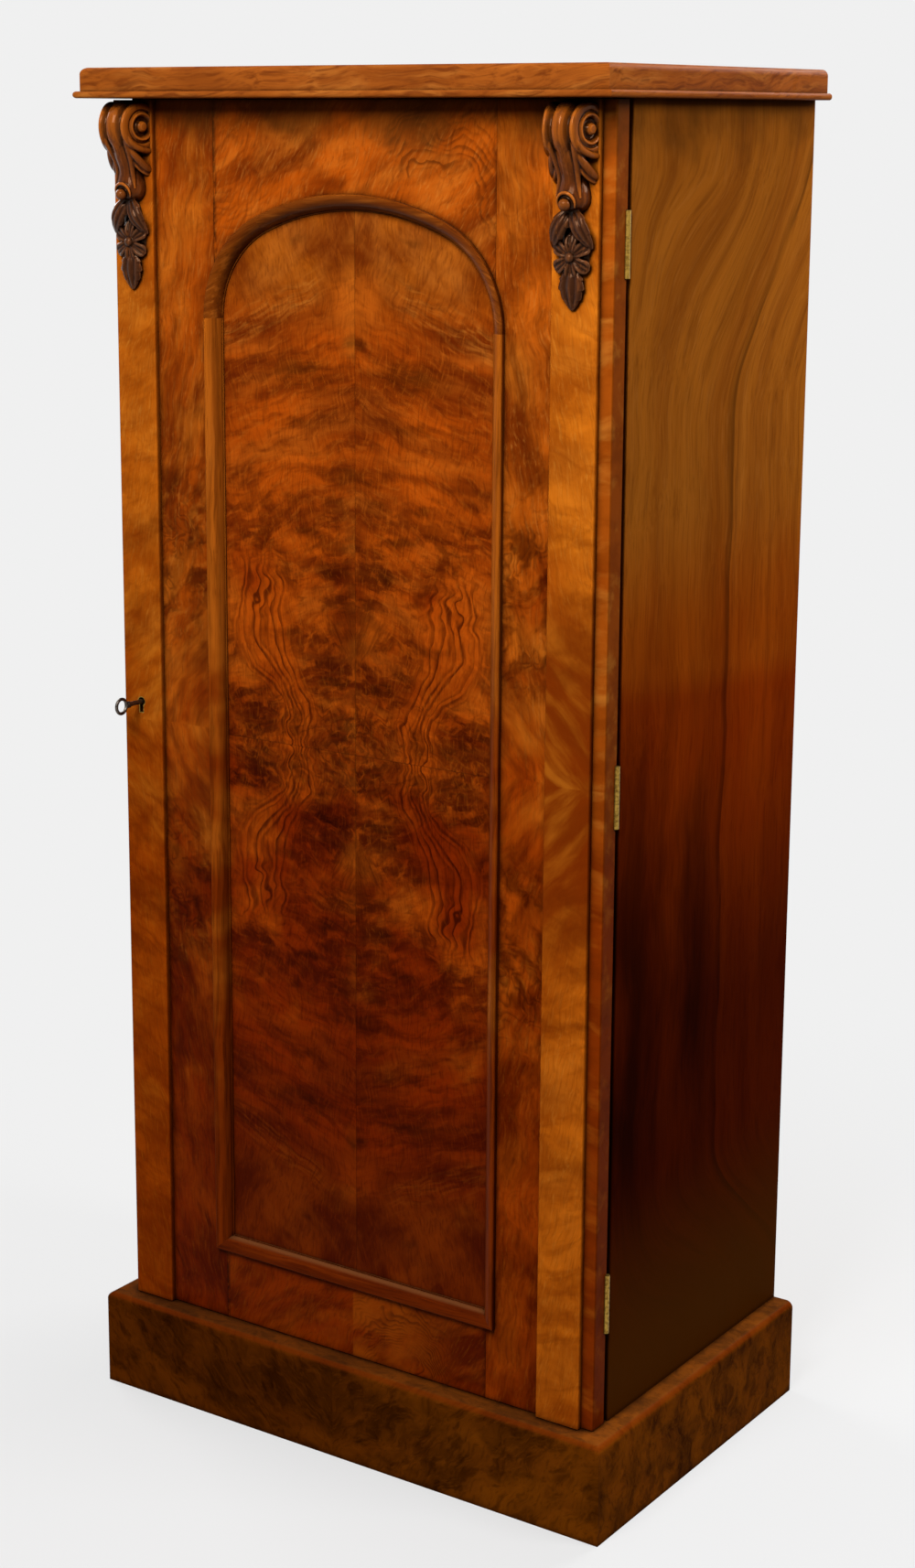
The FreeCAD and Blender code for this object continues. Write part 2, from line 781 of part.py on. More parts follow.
def hinge_leaf(z, way):
    own, other = (0, 1) if way > 0 else (1, 0)
    leaf = leaf_blank(z, way)
    rooms = [knuckle(z, i, knuckle_r + knuckle_clear, 0) for i in range(other, knuckle_count, 2)]
    leaf = leaf.cut(rooms)
    leaf = leaf.fuse([knuckle(z, i, knuckle_r, knuckle_gap / 2) for i in range(own, knuckle_count, 2)])
    return one(leaf).cut([hinge_pin(z, pin_fit), hinge_screws(way)])


def hinge_pin(z, fit):
    low = V(hinge_x, hinge_y, z - hinge_l / 2)
    return Part.makeCylinder(pin_r + fit, hinge_l, low, UP)


def hinge_pins():
    return Part.makeCompound([hinge_pin(z, 0) for z in hinge_heights])


def hinge_screws(way):
    face = lipping_front if way > 0 else door_back
    x = hinge_x - leaf_w * hinge_screw_in_share
    return Part.makeCompound([screw(x, z + hinge_l * share, face, way)
                              for z in hinge_heights for share in hinge_screw_shares])


# Lock and key

def keyhole(radius, slot_w, drop, ys):
    """A keyhole through the given depths: a round with a slot below it."""
    depth = abs(ys[1] - ys[0])
    start = V(key_x, min(ys), key_z)
    slot = box((key_x - slot_w / 2, key_x + slot_w / 2), ys, (key_z - drop, key_z))
    return one(Part.makeCylinder(radius, depth, start, BACKWARD).fuse(slot))


def escutcheon_blank():
    return keyhole(keyhole_r + escutcheon_wall, keyhole_slot_w + 2 * escutcheon_wall,
                   keyhole_drop + escutcheon_wall, (pilaster_face, pilaster_face + escutcheon_t))


def keyhole_escutcheon():
    ys = (pilaster_face - overrun, pilaster_face + escutcheon_t + overrun)
    return escutcheon_blank().cut(keyhole(keyhole_r, keyhole_slot_w, keyhole_drop, ys))


def lock_block():
    return box((lock_left, lock_left + lock_w), (lock_front, lock_plate_front),
               (key_z - lock_hh, key_z + lock_hh))


def lock_case():
    inside = box((lock_left + lock_wall, lock_left + lock_w - lock_wall),
                 (lock_front + lock_wall, lock_plate_front + overrun),
                 (key_z - lock_hh + lock_wall, key_z + lock_hh - lock_wall))
    ys = (lock_front - overrun, lock_front + lock_wall + overrun)
    return lock_block().cut(inside).cut(keyhole(key_shank_r + key_fit, keyhole_slot_w, keyhole_drop, ys))


def lock_plate_blank():
    return box((lock_left, lock_left + lock_w), (lock_plate_front, door_back),
               (key_z - lock_hh - lock_plate_end, key_z + lock_hh + lock_plate_end))


def lock_plate():
    plate = lock_plate_blank().cut(lock_screws())
    wide, high = staple_w / 2 + staple_slot_fit, staple_t / 2 + staple_slot_fit
    for z in staple_heights():
        plate = plate.cut(box((staple_x - wide, staple_x + wide),
                              (lock_plate_front - overrun, door_back + overrun), (z - high, z + high)))
    return plate


def lock_screws():
    x = lock_left + lock_w / 2
    reach = lock_hh + lock_plate_end / 2
    return Part.makeCompound([screw(x, key_z + reach * end, door_back, -1) for end in (-1, 1)])


def staple_heights():
    return key_z - staple_off, key_z + staple_off


def lock_bolt():
    """Sliding plate with a talon for the key's bit and two upright fingers for the staples."""
    low, high = staple_heights()
    finger_l = bolt_travel + finger_gap + lug_h
    foot_z = low - staple_t / 2 - finger_gap - finger_l
    left = lock_left + lock_wall + bolt_fit
    right = key_x - key_shank_r - bolt_tail_gap
    bolt = box((left, right), (bolt_front, bolt_back), (foot_z, high - staple_t / 2 - finger_gap))
    talon = box((key_x - key_bit_r - talon_clear, right + overrun),
                (bolt_front - overrun, bolt_back + overrun), (key_z - talon_below, key_z + talon_above))
    bolt = bolt.cut(talon)
    xs = (staple_x - finger_w / 2, staple_x + finger_w / 2)
    for z in (low, high):
        tip = z - staple_t / 2 - finger_gap
        root = tip - finger_l
        bolt = bolt.fuse(box(xs, (bolt_back, finger_y + finger_t / 2), (root, root + lug_h)))
        bolt = bolt.fuse(box(xs, (finger_y - finger_t / 2, finger_y + finger_t / 2), (root, tip)))
    return one(bolt)


def link_blank():
    return box((staple_x - link_w / 2, staple_x + link_w / 2), (lipping_front, lipping_front + link_t),
               (key_z - link_hh, key_z + link_hh))


def link_plate():
    plate = link_blank()
    hole_w, hole_d = finger_w / 2 + staple_hole_fit, finger_t / 2 + staple_hole_fit
    for z in staple_heights():
        zs = (z - staple_t / 2, z + staple_t / 2)
        plate = plate.fuse(box((staple_x - staple_w / 2, staple_x + staple_w / 2),
                               (staple_end, lipping_front), zs))
        plate = plate.cut(box((staple_x - hole_w, staple_x + hole_w),
                              (finger_y - hole_d, finger_y + hole_d), zs))
    return one(plate).cut(link_plate_screws())


def link_plate_screws():
    reach = (link_hh + staple_off) / 2
    return Part.makeCompound([screw(staple_x, key_z + reach * end, lipping_front, 1) for end in (-1, 1)])


def key():
    bow_end = pilaster_face - key_stand
    bow_y = bow_end + key_bow_r
    stem = bow_end + 2 * key_bow_r - key_bow_wire_r
    end = lock_plate_front - bolt_fit
    axis_point = V(key_x, stem, key_z)
    bow = Part.makeTorus(key_bow_r - key_bow_wire_r, key_bow_wire_r, V(key_x, bow_y, key_z), ACROSS)
    shank = Part.makeCylinder(key_shank_r, end - stem, axis_point, BACKWARD)
    collar = Part.makeCylinder(key_collar_r, key_collar_l, axis_point + BACKWARD * key_bow_wire_r, BACKWARD)
    bit = box((key_x - key_bit_t / 2, key_x + key_bit_t / 2), (bolt_front, end),
              (key_z - key_bit_r, key_z))
    return one(shank.fuse([bow, collar, bit]))


# The whole cupboard

def nodes():
    made = {"plinth_front": plinth_front(), "plinth_back": plinth_back(),
            "plinth_bearer": plinth_bearer(), "plinth_glue_blocks": plinth_glue_blocks(),
            "carcass_bottom": cross_board((foot, foot + base_t)),
            "dust_board": cross_board((head - dust_board_t, head)),
            "top_board": top_board(), "top_bead_front": top_bead_front(), "top_packing": top_packing(),
            "lock_stile": lock_stile(), "hinge_stile": hinge_stile(), "top_rail": top_rail(),
            "bottom_rail": bottom_rail(), "door_panel": door_panel(),
            "moulding_bottom": moulding_bottom(), "moulding_crown": moulding_crown(),
            "hinge_pins": hinge_pins(), "hinge_screws_carcass": hinge_screws(1),
            "hinge_screws_door": hinge_screws(-1), "lock_case": lock_case(), "lock_plate": lock_plate(),
            "lock_bolt": lock_bolt(), "lock_screws": lock_screws(), "link_plate": link_plate(),
            "link_plate_screws": link_plate_screws(), "keyhole_escutcheon": keyhole_escutcheon(),
            "key": key()}
    for name, hand in HANDS.items():
        middle = sum(pilaster_edges(name)) / 2
        made.update({"plinth_" + name: plinth_side(hand), name + "_side": side(hand),
                     name + "_lipping": lipping(hand), "shelf_bearers_" + name: shelf_bearers(hand),
                     "top_bead_" + name: top_bead_side(hand), "moulding_" + name: moulding_side(hand),
                     "moulding_haunch_" + name: moulding_haunch(hand),
                     name + "_pilaster": pilaster(name),
                     name + "_corbel_scroll": corbel_scroll(middle),
                     name + "_corbel_drop": corbel_drop(middle)})
    for index in range(back_board_count):
        made["back_board_" + str(index + 1)] = back_board(index)
    for index, name in enumerate(shelf_names):
        made[name + "_shelf"] = shelf(index)
    for z, name in zip(hinge_heights, hinge_names):
        made["hinge_" + name + "_carcass_leaf"] = hinge_leaf(z, 1)
        made["hinge_" + name + "_door_leaf"] = hinge_leaf(z, -1)
    return made


os.makedirs("parts", exist_ok=True)
for node, shape in nodes().items():
    shape.exportStep("parts/" + node + ".step")
    print(node, len(shape.Solids), "solid", shape.isValid(), round(shape.Volume, 1))
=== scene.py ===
# %% [markdown]
# A one-door walnut cupboard, dressed for its picture. The joiner's model, with every board, hinge and
# lock part at its real size, is loaded as a fixed frame. This lesson gives each board its veneer and
# polish, carves the two corbels and sets up the camera, the floor and the light.

# %% Load the frame
import json
import math
import bpy
from mathutils import Euler, Matrix, Vector


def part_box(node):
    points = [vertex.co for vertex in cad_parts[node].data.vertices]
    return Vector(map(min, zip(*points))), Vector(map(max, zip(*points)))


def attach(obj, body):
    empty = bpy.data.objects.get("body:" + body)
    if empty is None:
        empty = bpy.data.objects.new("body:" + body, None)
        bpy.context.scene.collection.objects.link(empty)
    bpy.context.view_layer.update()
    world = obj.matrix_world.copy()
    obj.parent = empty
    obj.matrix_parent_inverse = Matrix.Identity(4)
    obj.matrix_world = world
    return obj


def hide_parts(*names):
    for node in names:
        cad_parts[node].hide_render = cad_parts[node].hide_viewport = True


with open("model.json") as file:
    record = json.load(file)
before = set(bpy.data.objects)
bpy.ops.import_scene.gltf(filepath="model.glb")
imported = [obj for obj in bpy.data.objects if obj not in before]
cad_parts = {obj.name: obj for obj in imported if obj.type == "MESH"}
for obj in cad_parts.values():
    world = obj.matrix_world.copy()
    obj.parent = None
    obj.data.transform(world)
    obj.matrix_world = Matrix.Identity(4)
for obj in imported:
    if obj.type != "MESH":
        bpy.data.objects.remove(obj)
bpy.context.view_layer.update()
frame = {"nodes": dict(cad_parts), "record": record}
MM = 0.001

# %% [markdown]
# The camera stands at eye height, to the right of the front, as someone would who has just walked past
# the cupboard. It could be aimed with a constraint, but a place and three angles say the same and never
# drift. The shift slides the picture without turning the lens, so the uprights keep their slant.

# %% Camera
CAMERA_PLACE = (1.6115, -2.3840, 1.4317)
CAMERA_TURN, CAMERA_TILT, CAMERA_ROLL = 34.80, -12.70, 0.16
LENS_MM, SHIFT = 62.01, (0.0287, -0.0364)
bpy.ops.object.select_all(action="DESELECT")
bpy.ops.object.camera_add(location=CAMERA_PLACE)
camera = bpy.context.object
aim = Euler((math.radians(90 + CAMERA_TILT), 0, math.radians(CAMERA_TURN))).to_matrix()
camera.rotation_euler = (aim @ Matrix.Rotation(math.radians(CAMERA_ROLL), 3, "Z")).to_euler()
camera.data.lens = LENS_MM
camera.data.shift_x, camera.data.shift_y = SHIFT
bpy.context.scene.camera = camera
print("camera at", CAMERA_PLACE, "lens", LENS_MM, "mm")

# %% [markdown]
# Two small helpers serve every finish below. One turns a colour as a painter reads it, an sRGB hex
# value, into the linear numbers that a shader works with. The other adds one node, sets it up and
# wires it, so that a material reads as a list of layers.


# %% Helpers for materials
def linear(code):
    """The linear colour of an sRGB hex value such as "#8a4a1c"."""
    parts = [int(code[i:i + 2], 16) / 255 for i in (1, 3, 5)]
    return tuple(p / 12.92 if p <= 0.04045 else ((p + 0.055) / 1.055) ** 2.4 for p in parts) + (1.0,)


def add(tree, kind, wires=(), give=0, **settings):
    """Adds one shader node, fills its sockets from wires, in order or by name, and gives back one output."""
    made = tree.nodes.new("ShaderNode" + kind)
    for name, value in settings.items():
        setattr(made, name, value)
    for key, value in (wires.items() if isinstance(wires, dict) else enumerate(wires)):
        if isinstance(value, bpy.types.NodeSocket):
            tree.links.new(value, made.inputs[key])
        else:
            made.inputs[key].default_value = value
    return made.outputs[give]


def new_material(name):
    """An empty material: its tree, and the shader that the layers end in."""
    made = bpy.data.materials.new(name)
    made.use_nodes = True
    return made, made.node_tree, made.node_tree.nodes["Principled BSDF"]


print("orange-brown polish in linear light", [round(v, 3) for v in linear("#a0500f")])

# %% [markdown]
# The floor and the air around the cupboard are one pale grey. A big white room would do that too, but it
# would also flood the polish with light. Instead the eye, and anything that mirrors, sees a plain grey,
# while the wood is lit by soft lamps: the strongest in front and above, so that the light falls off
# towards the foot, and weaker ones for the side, the back and the left. The floor keeps its shadow.

# %% Floor, light and air
PALE, PALE_LIT, FLOOR_BOUNCE = "#f0f0f0", "#dedede", "#707070"
FLOOR_SIZE = 60.0
SHADOW_NEAR, SHADOW_FAR, SHADOW_SHARE = 0.5, 1.6, 0.3
FILL = 0.16
LAMPS = {
    "key_lamp": ((0.35, -1.80, 2.40), (0.0, -0.2, 1.05), 1.0, 56.0),
    "side_lamp": ((2.1, 0.35, 2.45), (0.3, 0.0, 1.1), 0.9, 34.0),
    "back_lamp": ((0.6, 2.6, 2.3), (0.0, 0.2, 0.8), 1.4, 60.0),
    "left_lamp": ((-2.4, 0.6, 2.3), (-0.3, 0.0, 0.9), 1.2, 34.0),
}


def lamp(name, place, target, size, watts):
    """A square soft lamp that points at a target."""
    bpy.ops.object.light_add(type="AREA", location=place)
    made = bpy.context.object
    made.name = name
    made.rotation_euler = (Vector(target) - Vector(place)).to_track_quat("-Z", "Y").to_euler()
    made.data.size, made.data.energy = size, watts


def seen_directly(tree):
    """One where a ray comes from the eye, a mirror or through glass, else zero."""
    rays = [add(tree, "LightPath", give="Is " + ray + " Ray") for ray in ("Camera", "Glossy", "Transmission")]
    first = add(tree, "Math", rays[:2], operation="MAXIMUM")
    return add(tree, "Math", [first, rays[2]], operation="MAXIMUM")


for name, setting in LAMPS.items():
    lamp(name, *setting)
world = bpy.data.worlds.new("pale_room")
bpy.context.scene.world = world
world.use_nodes = True
air = world.node_tree
dim = add(air, "Background", [(FILL, FILL, FILL, 1)])
plain = add(air, "Background", [linear(PALE)])
mixed = add(air, "MixShader", [seen_directly(air), dim, plain])
air.links.new(mixed, air.nodes["World Output"].inputs[0])

bpy.ops.mesh.primitive_plane_add(size=FLOOR_SIZE, location=(0, 0, 0))
floor = bpy.context.object
floor.name = "floor"
paper, tree, shader = new_material("pale_floor_paper")
away = add(tree, "VectorMath", [add(tree, "TexCoord", give="Object")], give="Value", operation="LENGTH")
shadow = [away, SHADOW_NEAR, SHADOW_FAR, SHADOW_SHARE, 0.0]
near = add(tree, "MapRange", shadow, interpolation_type="SMOOTHSTEP")
glow = add(tree, "Emission", [linear(PALE), 1.0])
seen = add(tree, "MixShader", [near, glow, add(tree, "BsdfDiffuse", [linear(PALE_LIT)])])
lit = add(tree, "BsdfDiffuse", [linear(FLOOR_BOUNCE)])
mixed = add(tree, "MixShader", [seen_directly(tree), lit, seen])
tree.links.new(mixed, tree.nodes["Material Output"].inputs[0])
tree.nodes.remove(shader)
floor.data.materials.append(paper)
bpy.context.scene.view_settings.view_transform = "Standard"
print("floor", FLOOR_SIZE, "m wide,", len(LAMPS), "lamps, fill", FILL)

# %% [markdown]
# Walnut veneer is a thin leaf sliced from a stump or a crotch of the tree, and leaves from one block are laid
# in pairs that mirror each other. Its figure could be painted as a picture, but masks made by nodes stay
# sharp at any distance and keep their real sizes, here in millimetres. First come the place of a point, the
# ways to fold it and to push it about, and the soft edges that all masks are made of.

# %% Places and soft edges
LEAF_SLIP = 2.5
MID_GREY = (0.5, 0.5, 0.5)
TURNED = (0.5, 0.9)


def place_mm(tree):
    """Where a point lies on the resting cupboard, in millimetres."""
    place = add(tree, "TexCoord", give="Object")
    return add(tree, "VectorMath", {0: place, "Scale": 1 / MM}, operation="SCALE")


def facing(tree, axis):
    """How far a face of the resting cupboard looks along an axis, from -1 to 1."""
    return add(tree, "SeparateXYZ", [add(tree, "TexCoord", give="Normal")], give=axis)


def matched(tree, at, middle_x=None, middle_z=None, seed=0.0):
    """Book-matched leaves, mirrored about a seam at middle_x, middle_z or both, each cut a slice deeper."""
    parts = [add(tree, "SeparateXYZ", [at], give=axis) for axis in "XYZ"]
    parts[1] = add(tree, "Math", [parts[1], seed], operation="ADD")
    for axis, middle in ((0, middle_x), (2, middle_z)):
        if middle is not None:
            off = add(tree, "Math", [parts[axis], middle], operation="SUBTRACT")
            side = add(tree, "Math", [off], operation="SIGN")
            parts[1] = add(tree, "Math", [side, LEAF_SLIP, parts[1]], operation="MULTIPLY_ADD")
            parts[axis] = add(tree, "Math", [off], operation="ABSOLUTE")
    return add(tree, "CombineXYZ", parts)


def swirled(tree, at, size, reach):
    """Pushes the figure about, so that straight grain flows round knots of that size."""
    push = add(tree, "TexNoise", {"Vector": at, "Scale": 1 / size, "Detail": 2.0}, give="Color")
    push = add(tree, "VectorMath", [push, MID_GREY], operation="SUBTRACT")
    push = add(tree, "VectorMath", {0: push, "Scale": reach}, operation="SCALE")
    return add(tree, "VectorMath", [at, push], operation="ADD")


def far_from(tree, at, middle, half=(1.0, 1.0)):
    """How far a point lies from a middle, across and up, counted in half sizes."""
    off = add(tree, "VectorMath", [at, (middle[0], 0.0, middle[1])], operation="SUBTRACT")
    off = add(tree, "VectorMath", [off, (1 / half[0], 0.0, 1 / half[1])], operation="MULTIPLY")
    return add(tree, "VectorMath", [off], give="Value", operation="LENGTH")


def scaled(tree, mask, *by):
    """A mask made weaker, by numbers or by other masks."""
    for share in by:
        mask = add(tree, "Math", [mask, share], operation="MULTIPLY")
    return mask


def within(tree, *edges, share=None):
    """A mask of what lies past soft edges: each is a value, where it starts and ends, and the mask there."""
    for value, *span in edges:
        step = add(tree, "MapRange", [value, *span], interpolation_type="SMOOTHSTEP")
        share = step if share is None else scaled(tree, step, share)
    return share


def flanks(tree):
    """A mask of the faces that look to the left or to the right."""
    return within(tree, (add(tree, "Math", [facing(tree, "X")], operation="ABSOLUTE"), *TURNED))


def backs(tree):
    """A mask of the faces that look to the back."""
    return within(tree, (facing(tree, "Y"), *TURNED))


print("matched leaves slip", LEAF_SLIP, "mm at a seam")

# %% [markdown]
# Seen close, the figure is made of a few things that can each be drawn alone: clouds and streaks that shine
# light and dark, growth rings, curls where the buds of a burr were cut, and soft smudges. Each is a small
# function that gives back a mask or a colour. The pores are streaks too. Real ones are a fifth of a
# millimetre wide, and they are drawn about ten times coarser here so that they show.

# %% The parts of a walnut figure
RING_DARKENS, RING_ENDS = (0.25, 0.75), (1.0, 0.85)
SMUDGE_EDGE = (1.3, 0.2)


def grain(tree, at, along, across, turn, low, high):
    """A mask of brushed streaks, long one way and thin the other, turned some degrees from level."""
    laid = add(tree, "VectorRotate", {"Vector": at, "Angle": math.radians(turn)}, rotation_type="Y_AXIS")
    laid = add(tree, "VectorMath", [laid, (1 / along, 1 / across, 1 / across)], operation="MULTIPLY")
    cloud = add(tree, "TexNoise", {"Vector": laid, "Scale": 1.0, "Detail": 4.0, "Roughness": 0.56})
    return within(tree, (cloud, low, high))


def lines(tree, value, gap):
    """A mask of growth rings: it darkens slowly across each gap of a value and ends at a sharp edge."""
    step = add(tree, "Math", [value, gap], operation="DIVIDE")
    step = add(tree, "Math", [step], operation="FRACT")
    return within(tree, (step, *RING_DARKENS), (step, *RING_ENDS))


def curls(tree, at, size, count):
    """A mask of the small curls of a burr: the level lines of a bumpy field."""
    hills = add(tree, "TexNoise", {"Vector": at, "Scale": 1 / size, "Detail": 1.0, "Roughness": 0.4})
    return lines(tree, hills, 1 / count)


def layered(tree, at, colour, layers, keep=1.0):
    """Lays streaks over a colour. A layer is tone, along, across, turn, low, high and strength."""
    for tone, *streaks, strength in layers:
        mask = scaled(tree, grain(tree, at, *streaks), strength, keep)
        colour = add(tree, "MixRGB", [mask, colour, linear(tone)])
    return colour


def smudged(tree, at, colour, tone, smudges, keep):
    """Lays soft patches over a colour. A smudge is its place across and up, half sizes and strength."""
    for across, up, wide, tall, strength in smudges:
        far = far_from(tree, at, (across, up), (wide, tall))
        mask = scaled(tree, within(tree, (far, *SMUDGE_EDGE), share=keep), strength)
        colour = add(tree, "MixRGB", [mask, colour, linear(tone)])
    return colour


print("figure parts: grain, lines, curls, layered, smudged")

# %% [markdown]
# One polish lies over all the veneered faces. It is shellac, rubbed on in many thin coats. It is glossy, but
# over such deep colour its sheen looks amber, so the sheen is tinted and kept low. Dust lies on the ledges,
# with a painted highlight in it. Painted shade lies in corners, under ledges and on flanks, as a shadow under
# the top, and darker and redder towards the foot. Each is one more layer on the colour, and follows the
# forms.

# %% Shellac polish, age and painted shade
POLISH_ROUGH, POLISH_TINT = 0.30, "#d08a4a"
WAVE_SIZE, WAVE_DEPTH, WAVE_STRENGTH = 45.0, 0.5, 0.3
WAVE_SPAN, WAVE_ROUGH = (0.3, 0.7), (0.84, 1.27)
# Painted shade towards the foot: the first tone multiplies the colour there, and the second leaves it nearly
# as it is.
FOOT_SHADE_TONE, NO_FOOT_SHADE_TONE = "#bc9070", "#fff4ea"
FOOT_SHADE_SPAN, SHADE_PATCH, FOOT_SHADE_SWING = (1000.0, 480.0), 70.0, 1500.0
# A painted shadow of the top, in a ragged band under it.
HEAD_SHADOW_TONE, HEAD_SHADOW_SHARE = "#4a2a0c", 0.62
HEAD_SPAN, HEAD_EDGE, HEAD_SWING = (1395.0, 1450.0), (1450.5, 1449.5), 130.0
# One dark tone serves painted shade in corners, under ledges and on flanks, and real dirt in joints and
# seams.
SHADE_AND_DIRT_TONE, CORNER_SHADE_SHARE = "#1a0902", 0.75
CORNER_SHADE_REACH, CORNER_SHADE_SPAN, AIR_SAMPLES = 9.0, (0.92, 0.45), 6
# Dust on the faces that look up, which also serves as a painted highlight there.
DUST_AND_HIGHLIGHT_TONE, DUST_AND_HIGHLIGHT_SPAN = "#b4926c", (0.75, 0.98)
# Painted shade on the faces that look down.
UNDER_SHADE_SHARE, UNDER_SHADE_SPAN = 0.6, (-0.1, -0.7)
RUBBED_TONE, RUBBED_FROM, RUBBED_TO = "#a4561e", (0.2, 0.6), (0.98, 0.85)
INNER_TONE = "#8a4e1c"
INNER_FIGURE = (("#6a340e", 300, 22, 90, 0.38, 0.66, 0.7), ("#58280a", 160, 3.0, 90, 0.46, 0.72, 0.5))


def aged_and_shaded(tree, at, colour, foot_tone, flank, dust, shade, rubbed):
    """Lays dust with a painted highlight on ledges and painted shade under them, rubs rounded edges bright,
    and paints shade on the flanks, a shadow under the top and shade towards the foot.
    """
    level = facing(tree, "Z")
    layers = []
    if dust:
        # Dust and a painted highlight on the faces that look up.
        layers.append((DUST_AND_HIGHLIGHT_TONE, within(tree, (level, *DUST_AND_HIGHLIGHT_SPAN), share=dust)))
        # Painted shade under the ledges, on the faces that look down.
        layers.append((SHADE_AND_DIRT_TONE, within(tree, (level, *UNDER_SHADE_SPAN), share=UNDER_SHADE_SHARE)))
    if rubbed:
        layers.append((RUBBED_TONE, within(tree, (level, *RUBBED_FROM), (level, *RUBBED_TO), share=rubbed)))
    if flank:
        # Painted shade on the faces that look left or right.
        layers.append((SHADE_AND_DIRT_TONE, scaled(tree, flanks(tree), flank)))
    height = add(tree, "SeparateXYZ", [at], give="Z")
    patch = add(tree, "TexNoise", {"Vector": at, "Scale": 1 / SHADE_PATCH, "Detail": 3.0})
    patch = add(tree, "Math", [patch, 0.5], operation="SUBTRACT")
    head, foot = [
        add(tree, "Math", [patch, swing, height], operation="MULTIPLY_ADD")
        for swing in (HEAD_SWING, FOOT_SHADE_SWING)
    ]
    # Painted shadow under the top.
    layers.append((HEAD_SHADOW_TONE, within(tree, (head, *HEAD_SPAN), (height, *HEAD_EDGE), share=shade)))
    for tone, mask in layers:
        colour = add(tree, "MixRGB", [mask, colour, linear(tone)])
    # Painted shade: darker and redder towards the foot.
    foot = within(tree, (foot, *FOOT_SHADE_SPAN))
    return add(tree, "MixRGB", [foot, colour, linear(foot_tone)], blend_type="MULTIPLY")


def polished(tree, shader, colour, sheen=0.03, rough=POLISH_ROUGH, inner=None, foot_tone=FOOT_SHADE_TONE, flank=0.0,
             dust=0.0, shade=HEAD_SHADOW_SHARE, rubbed=0.0):
    """Ages and shades a colour, leaves the inner faces plain, paints shade into the corners and lays shellac
    over all.
    """
    at = place_mm(tree)
    colour = aged_and_shaded(tree, at, colour, foot_tone, flank, dust, shade, rubbed)
    if inner is not None:
        plain = layered(tree, at, linear(INNER_TONE), INNER_FIGURE)
        colour = add(tree, "MixRGB", [inner, colour, plain])
    # Painted shade: faces close to other faces are darkened, as in corners and recesses.
    open_air = add(tree, "AmbientOcclusion", {"Distance": CORNER_SHADE_REACH * MM}, give="AO", samples=AIR_SAMPLES)
    corner_shade = within(tree, (open_air, *CORNER_SHADE_SPAN), share=CORNER_SHADE_SHARE)
    colour = add(tree, "MixRGB", [corner_shade, colour, linear(SHADE_AND_DIRT_TONE)])
    wave = add(tree, "TexNoise", {"Vector": at, "Scale": 1 / WAVE_SIZE, "Detail": 2.0})
    bump = {"Strength": WAVE_STRENGTH, "Distance": WAVE_DEPTH * MM, "Height": wave}
    rub = add(tree, "MapRange", [wave, *WAVE_SPAN, *[share * rough for share in WAVE_ROUGH]])
    tree.links.new(colour, shader.inputs["Base Color"])
    tree.links.new(add(tree, "Bump", bump), shader.inputs["Normal"])
    tree.links.new(rub, shader.inputs["Roughness"])
    shader.inputs["Specular IOR Level"].default_value = sheen
    shader.inputs["Specular Tint"].default_value = linear(POLISH_TINT)


print("polish roughness", POLISH_ROUGH)

# %% [markdown]
# A veneered board has a light ground under clouds, streaks and pores. On the tall boards of the door two
# leaves meet at a level seam, with a vee of streaks beside it and burr a hand's width further out. Each board
# could have nodes of its own, but all were veneered in one way and only the leaves differ, so one function
# builds them up.

# %% Walnut veneer
VEE_SPAN = (230.0, 100.0)
BURR_FROM, BURR_TO = (50.0, 130.0), (330.0, 230.0, 0.25, 1.0)
BURR_KNOT, BURR_CURLS, BURR_CURL_TONE = (24.0, 18.0), (24.0, 8.0), "#340d02"
BURR_PATCH = (50, 34, 30, 0.42, 0.58)
STRIP_SOFT, DIM_TONE = 0.4, "#d6cac0"
STRIP_FIGURE = (("#7a3204", 60, 26, 4, 0.40, 0.66, 0.6), ("#d88830", 70, 20, 6, 0.50, 0.74, 0.4))


